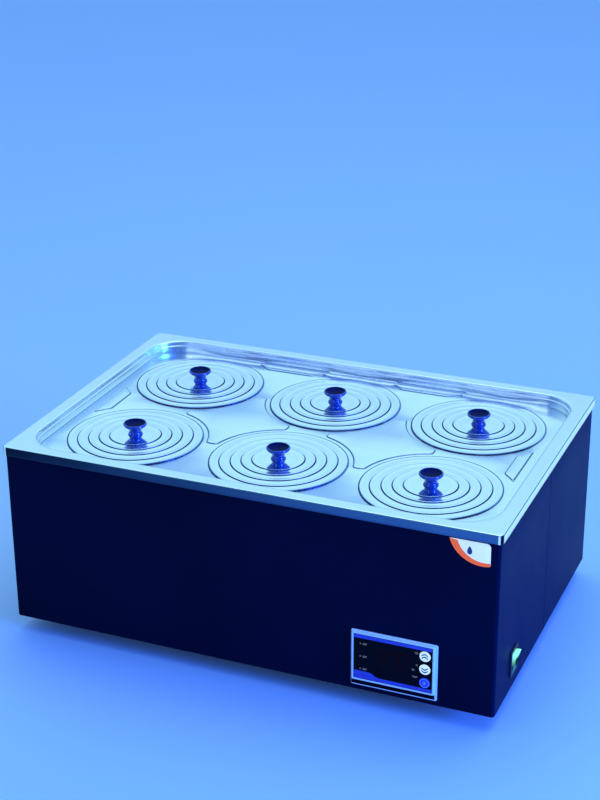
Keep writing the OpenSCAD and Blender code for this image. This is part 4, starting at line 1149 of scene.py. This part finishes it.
# ------------------------------------------------------------------ rear fittings
def make_rear():
    b = Build()
    # appliance inlet: flange, shroud, pocket
    ix, iz, y0 = -215.0, 62.0, 197.5
    def lobes(t):
        """Outline of the flange: a rectangle with a screw ear at each side."""
        pts = []
        w, h, ew, eh = 32 - 2 * t, 24 - 2 * t, 50 - 2 * t, 12 - 2 * t
        er = eh / 2 - 0.1
        for sx, sy in ((1, -1), (1, 1), (-1, 1), (-1, -1)):
            corner = [(w / 2 - 2.4 + 2.4 * math.cos(a), h / 2 - 2.4 + 2.4 * math.sin(a)) for a in [math.pi / 2 * i / 5 for i in range(6)]]
            ear = [(ew / 2 - er + er * math.cos(a), eh / 2 - er + er * math.sin(a)) for a in [math.pi / 2 * i / 6 for i in range(7)]]
            q = ear + corner            # from the ear's tip up to the top of the rectangle
            q = [(ix + sx * x, iz + sy * z) for x, z in q]
            if sx * sy < 0:
                q.reverse()
            pts += q
        return ccw(pts)
    hole = rr(24, 16, 3.5, 5, ix, iz)
    ears = [circle(ix + sx * 20, iz, 1.7, 24) for sx in (-1, 1)]
    pl = lambda x, z, h: (x, y0 + h, z)
    plate(b, lobes(0), [hole] + ears, pl, 0.0, 3.0, 0, 0.4)
    rows = [[(x, y0 + h, z) for x, z in rr(w, d, r, 5, ix, iz)] for w, d, r, h in ((24, 16, 3.5, 0.3), (24, 16, 3.5, -17.9), (24.2, 16.2, 3.5, -18.0))]
    shroud = rows[:2] + [[(x, y0 - 18.0, z) for x, z in rr(23, 15, 3.0, 5, ix, iz)]]
    outer = [[(x, y0 + h, z) for x, z in rr(28, 20, 4.0, 5, ix, iz)] for h in (0.3, -23.0)] + [[(x, y0 - 24.0, z) for x, z in rr(26.6, 18.6, 3.4, 5, ix, iz)]]
    b.loft(list(reversed(outer)) + rows[:2], cap0=True, cap1=True)
    for px, pz in ((-7, -2), (0, 2), (7, -2)):
        r2 = [[(x, y0 - 18.5 + h, z) for x, z in rr(2.0 - 2 * t, 4.0 - 2 * t, 0.3, 3, ix + px, iz + pz)] for t, h in ((0, 0), (0, 14.2), (0.25, 14.8), (0.6, 15.0))]
        b.loft(r2, cap0=True, cap1=True, mi=1)
    b.done("mains_socket", ["inlet", "pin"], "root", ["power_inlet"], angle=35)

    # drain pipe: flange inside the tank, pipe through both walls, hexagon nut, thread
    b = Build()
    n = 96
    pipe = [(7.0, 163.4, 0), (7.3, 163.05, 0), (10.1, 163.0, 0), (10.5, 163.4, 0), (10.5, 165.0, 0), (13.6, 165.0, 0), (14.0, 165.4, 0), (14.0, 168.96, 0),
            (10.5, 168.98, 0), (10.5, 170.25, 0), (11.4, 170.25, 0), (11.6, 170.45, 0), (11.6, 174.0, 0), (11.4, 174.2, 0), (10.5, 174.2, 0), (10.5, 200.4, 0)]
    y = 200.5
    while y < 205.05:
        pipe.append((10.47, y, 1))
        y += 0.13
    pipe += [(10.3, 205.3, 0), (9.8, 205.75, 0), (7.4, 205.8, 0), (7.0, 205.5, 0)]
    rows = []
    for r, h, th in pipe:
        row = []
        for i in range(n):
            a = TAU * i / n
            q = r
            if th:
                ph = ((h - 200.5) / 1.35 - i / n) % 1.0
                q = r - 0.55 * (1 - abs(2 * ph - 1))
            row.append((200 + q * math.cos(a), h, 130 - q * math.sin(a)))
        rows.append(row)
    b.loft(rows, closed=True)
    nut = []
    for r, h in ((10.55, 197.52), (12.6, 197.52), (13.9, 197.55), (15.0, 198.0), (15.0, 199.5), (13.9, 199.95), (12.6, 200.0), (10.55, 200.0)):
        nut.append([(200 + min(r, 13.0 / math.cos(((TAU * i / n) % (TAU / 6)) - TAU / 12)) * math.cos(TAU * i / n), h,
                     130 - min(r, 13.0 / math.cos(((TAU * i / n) % (TAU / 6)) - TAU / 12)) * math.sin(TAU * i / n)) for i in range(n)])
    b.loft(nut, closed=True)
    b.done("drain_pipe", "brass", "root", ["drain_spout"], angle=28)

    # rubber plug with a grip rim
    b = Build()
    b.lathe([(0, 200.5), (5.2, 200.5), (5.7, 200.65), (6.4, 201.6), (6.65, 202.3), (6.7, 202.9), (6.55, 203.2), (6.7, 203.5), (6.7, 205.8), (6.9, 206), (9.2, 206), (9.55, 206.2),
             (9.6, 206.5), (9.3, 207), (8.6, 207.35), (8.5, 207.5), (8.7, 207.7), (9.1, 207.95), (9.15, 208.2), (8.8, 208.45), (8.2, 208.5), (6.5, 208.4), (5.5, 208.2), (0, 208.1)],
            64, 200, 0, 130, axis="y", closed=False)
    b.done("drain_stopper", "plug", "drain_plug", ["drain_plug"], angle=32)


make_rim()
make_deck()
for st_name, sx, sy in STATIONS:
    x, y = sx * PX, sy * PY / 2
    for k in range(4):
        make_ring(f"{st_name}_ring_{k + 1}", x, y, k)
    make_lid(f"{st_name}_lid", x, y)
    make_knob(f"{st_name}_knob", f"{st_name}_lid", x, y)
make_casing(-1)
make_casing(1)
make_feet()
make_controller()
make_buttons()
make_switch()
make_badge()
make_rear()


# ------------------------------------------------------------------ stage, light and camera
def floor():
    me = bpy.data.meshes.new("floor")
    n, R = 96, 30.0
    verts = [(0, 0, 0)] + [(R * math.cos(TAU * i / n), R * math.sin(TAU * i / n), 0) for i in range(n)]
    me.from_pydata(verts, [], [(0, 1 + i, 1 + (i + 1) % n) for i in range(n)])
    ob = bpy.data.objects.new("floor", me)
    bpy.context.scene.collection.objects.link(ob)
    k = Mat("floor_pale", (0.40, 0.62, 0.94), 0.6, Specular_IOR_Level=0.2)
    c = k.noise(k.coords((3, 3, 3)), 1.0, 3, 0.5)
    k.base(k.mix(c, (0.385, 0.61, 0.94), (0.415, 0.63, 0.95)))
    me.materials.append(k.m)


floor()


def make_world():
    """A pale studio, brighter behind the object, with a dark card high in front of it."""
    w = bpy.data.worlds.new("studio")
    bpy.context.scene.world = w
    w.use_nodes = True
    nt = w.node_tree
    nt.nodes.clear()
    out = nt.nodes.new("ShaderNodeOutputWorld")
    bg = nt.nodes.new("ShaderNodeBackground")
    tc = nt.nodes.new("ShaderNodeTexCoord")
    sep = nt.nodes.new("ShaderNodeSeparateXYZ")
    nt.links.new(tc.outputs["Generated"], sep.inputs[0])

    def smooth(v, a, b, c, d):
        x = nt.nodes.new("ShaderNodeMapRange")
        x.interpolation_type = "SMOOTHSTEP"
        for key, val in (("From Min", a), ("From Max", b), ("To Min", c), ("To Max", d)):
            x.inputs[key].default_value = val
        nt.links.new(v, x.inputs["Value"])
        return x.outputs[0]

    def mth(op, a, b):
        x = nt.nodes.new("ShaderNodeMath")
        x.operation = op
        for i, v in enumerate((a, b)):
            if isinstance(v, (int, float)):
                x.inputs[i].default_value = v
            else:
                nt.links.new(v, x.inputs[i])
        return x.outputs[0]

    def mix(f, a, b):
        x = nt.nodes.new("ShaderNodeMix")
        x.data_type = "RGBA"
        nt.links.new(f, x.inputs[0])
        for i, v in ((6, a), (7, b)):
            if isinstance(v, tuple):
                x.inputs[i].default_value = (*v, 1)
            else:
                nt.links.new(v, x.inputs[i])
        return x.outputs[2]

    dx, dy, dz = sep.outputs
    front = mth("ADD", mth("MULTIPLY", dx, 0.39), mth("MULTIPLY", dy, -0.92))
    card = mth("MULTIPLY", smooth(front, 0.12, 0.5, 0, 1), smooth(dz, 0.16, 0.34, 0, 1))
    behind = mth("MULTIPLY", smooth(front, -0.7, 0.15, 1, 0), smooth(dz, 0.24, 0.46, 0, 1))
    pale = mix(behind, (0.24, 0.50, 1.0), (0.56, 0.98, 1.16))
    col = mix(card, pale, (0.035, 0.13, 0.58))
    nt.links.new(col, bg.inputs[0])
    bg.inputs[1].default_value = 1.0
    nt.links.new(bg.outputs[0], out.inputs[0])


make_world()


def area(name, loc, target, size, power, color):
    l = bpy.data.lights.new(name, "AREA")
    l.shape = "RECTANGLE"
    l.size, l.size_y = size
    l.energy = power
    l.color = color
    ob = bpy.data.objects.new(name, l)
    ob.location = loc
    ob.rotation_euler = (Vector(target) - Vector(loc)).to_track_quat("-Z", "Y").to_euler()
    bpy.context.scene.collection.objects.link(ob)
    return ob


area("side", (2.8, -0.5, 0.7), (0.25, 0, 0.12), (0.9, 0.9), 190, (0.04, 0.17, 1.0))
area("top", (0.3, 0.4, 2.8), (0, 0.0, 0.2), (2.6, 1.8), 22, (0.72, 0.90, 1.0))
area("fill", (-0.9, -2.8, 1.5), (0, 0, 0.15), (1.6, 0.8), 9, (0.62, 0.82, 1.0))

scene = bpy.context.scene
scene.view_settings.view_transform = "Standard"
scene.view_settings.look = "None"
cam_data = bpy.data.cameras.new("camera")
cam = bpy.data.objects.new("camera", cam_data)
scene.collection.objects.link(cam)
cam_data.sensor_width = 36.0
cam_data.sensor_fit = "AUTO"
FOCAL_PX = 1742.4
cam_data.lens = FOCAL_PX / 800 * 36.0
cam_data.clip_start, cam_data.clip_end = 0.05, 60
yaw, pitch, roll = -22.692 * D2R, 23.064 * D2R, -0.367 * D2R
fwd = Vector((math.sin(yaw) * math.cos(pitch), math.cos(yaw) * math.cos(pitch), -math.sin(pitch)))
rt = Vector((math.cos(yaw), -math.sin(yaw), 0))
up = rt.cross(fwd)
r2 = math.cos(roll) * rt + math.sin(roll) * up
u2 = -math.sin(roll) * rt + math.cos(roll) * up
mw = Matrix((r2, u2, -fwd)).transposed().to_4x4()
mw.translation = Vector((0.7235, -1.7540, 1.0776))
cam.matrix_world = mw
scene.camera = cam

bpy.context.view_layer.update()
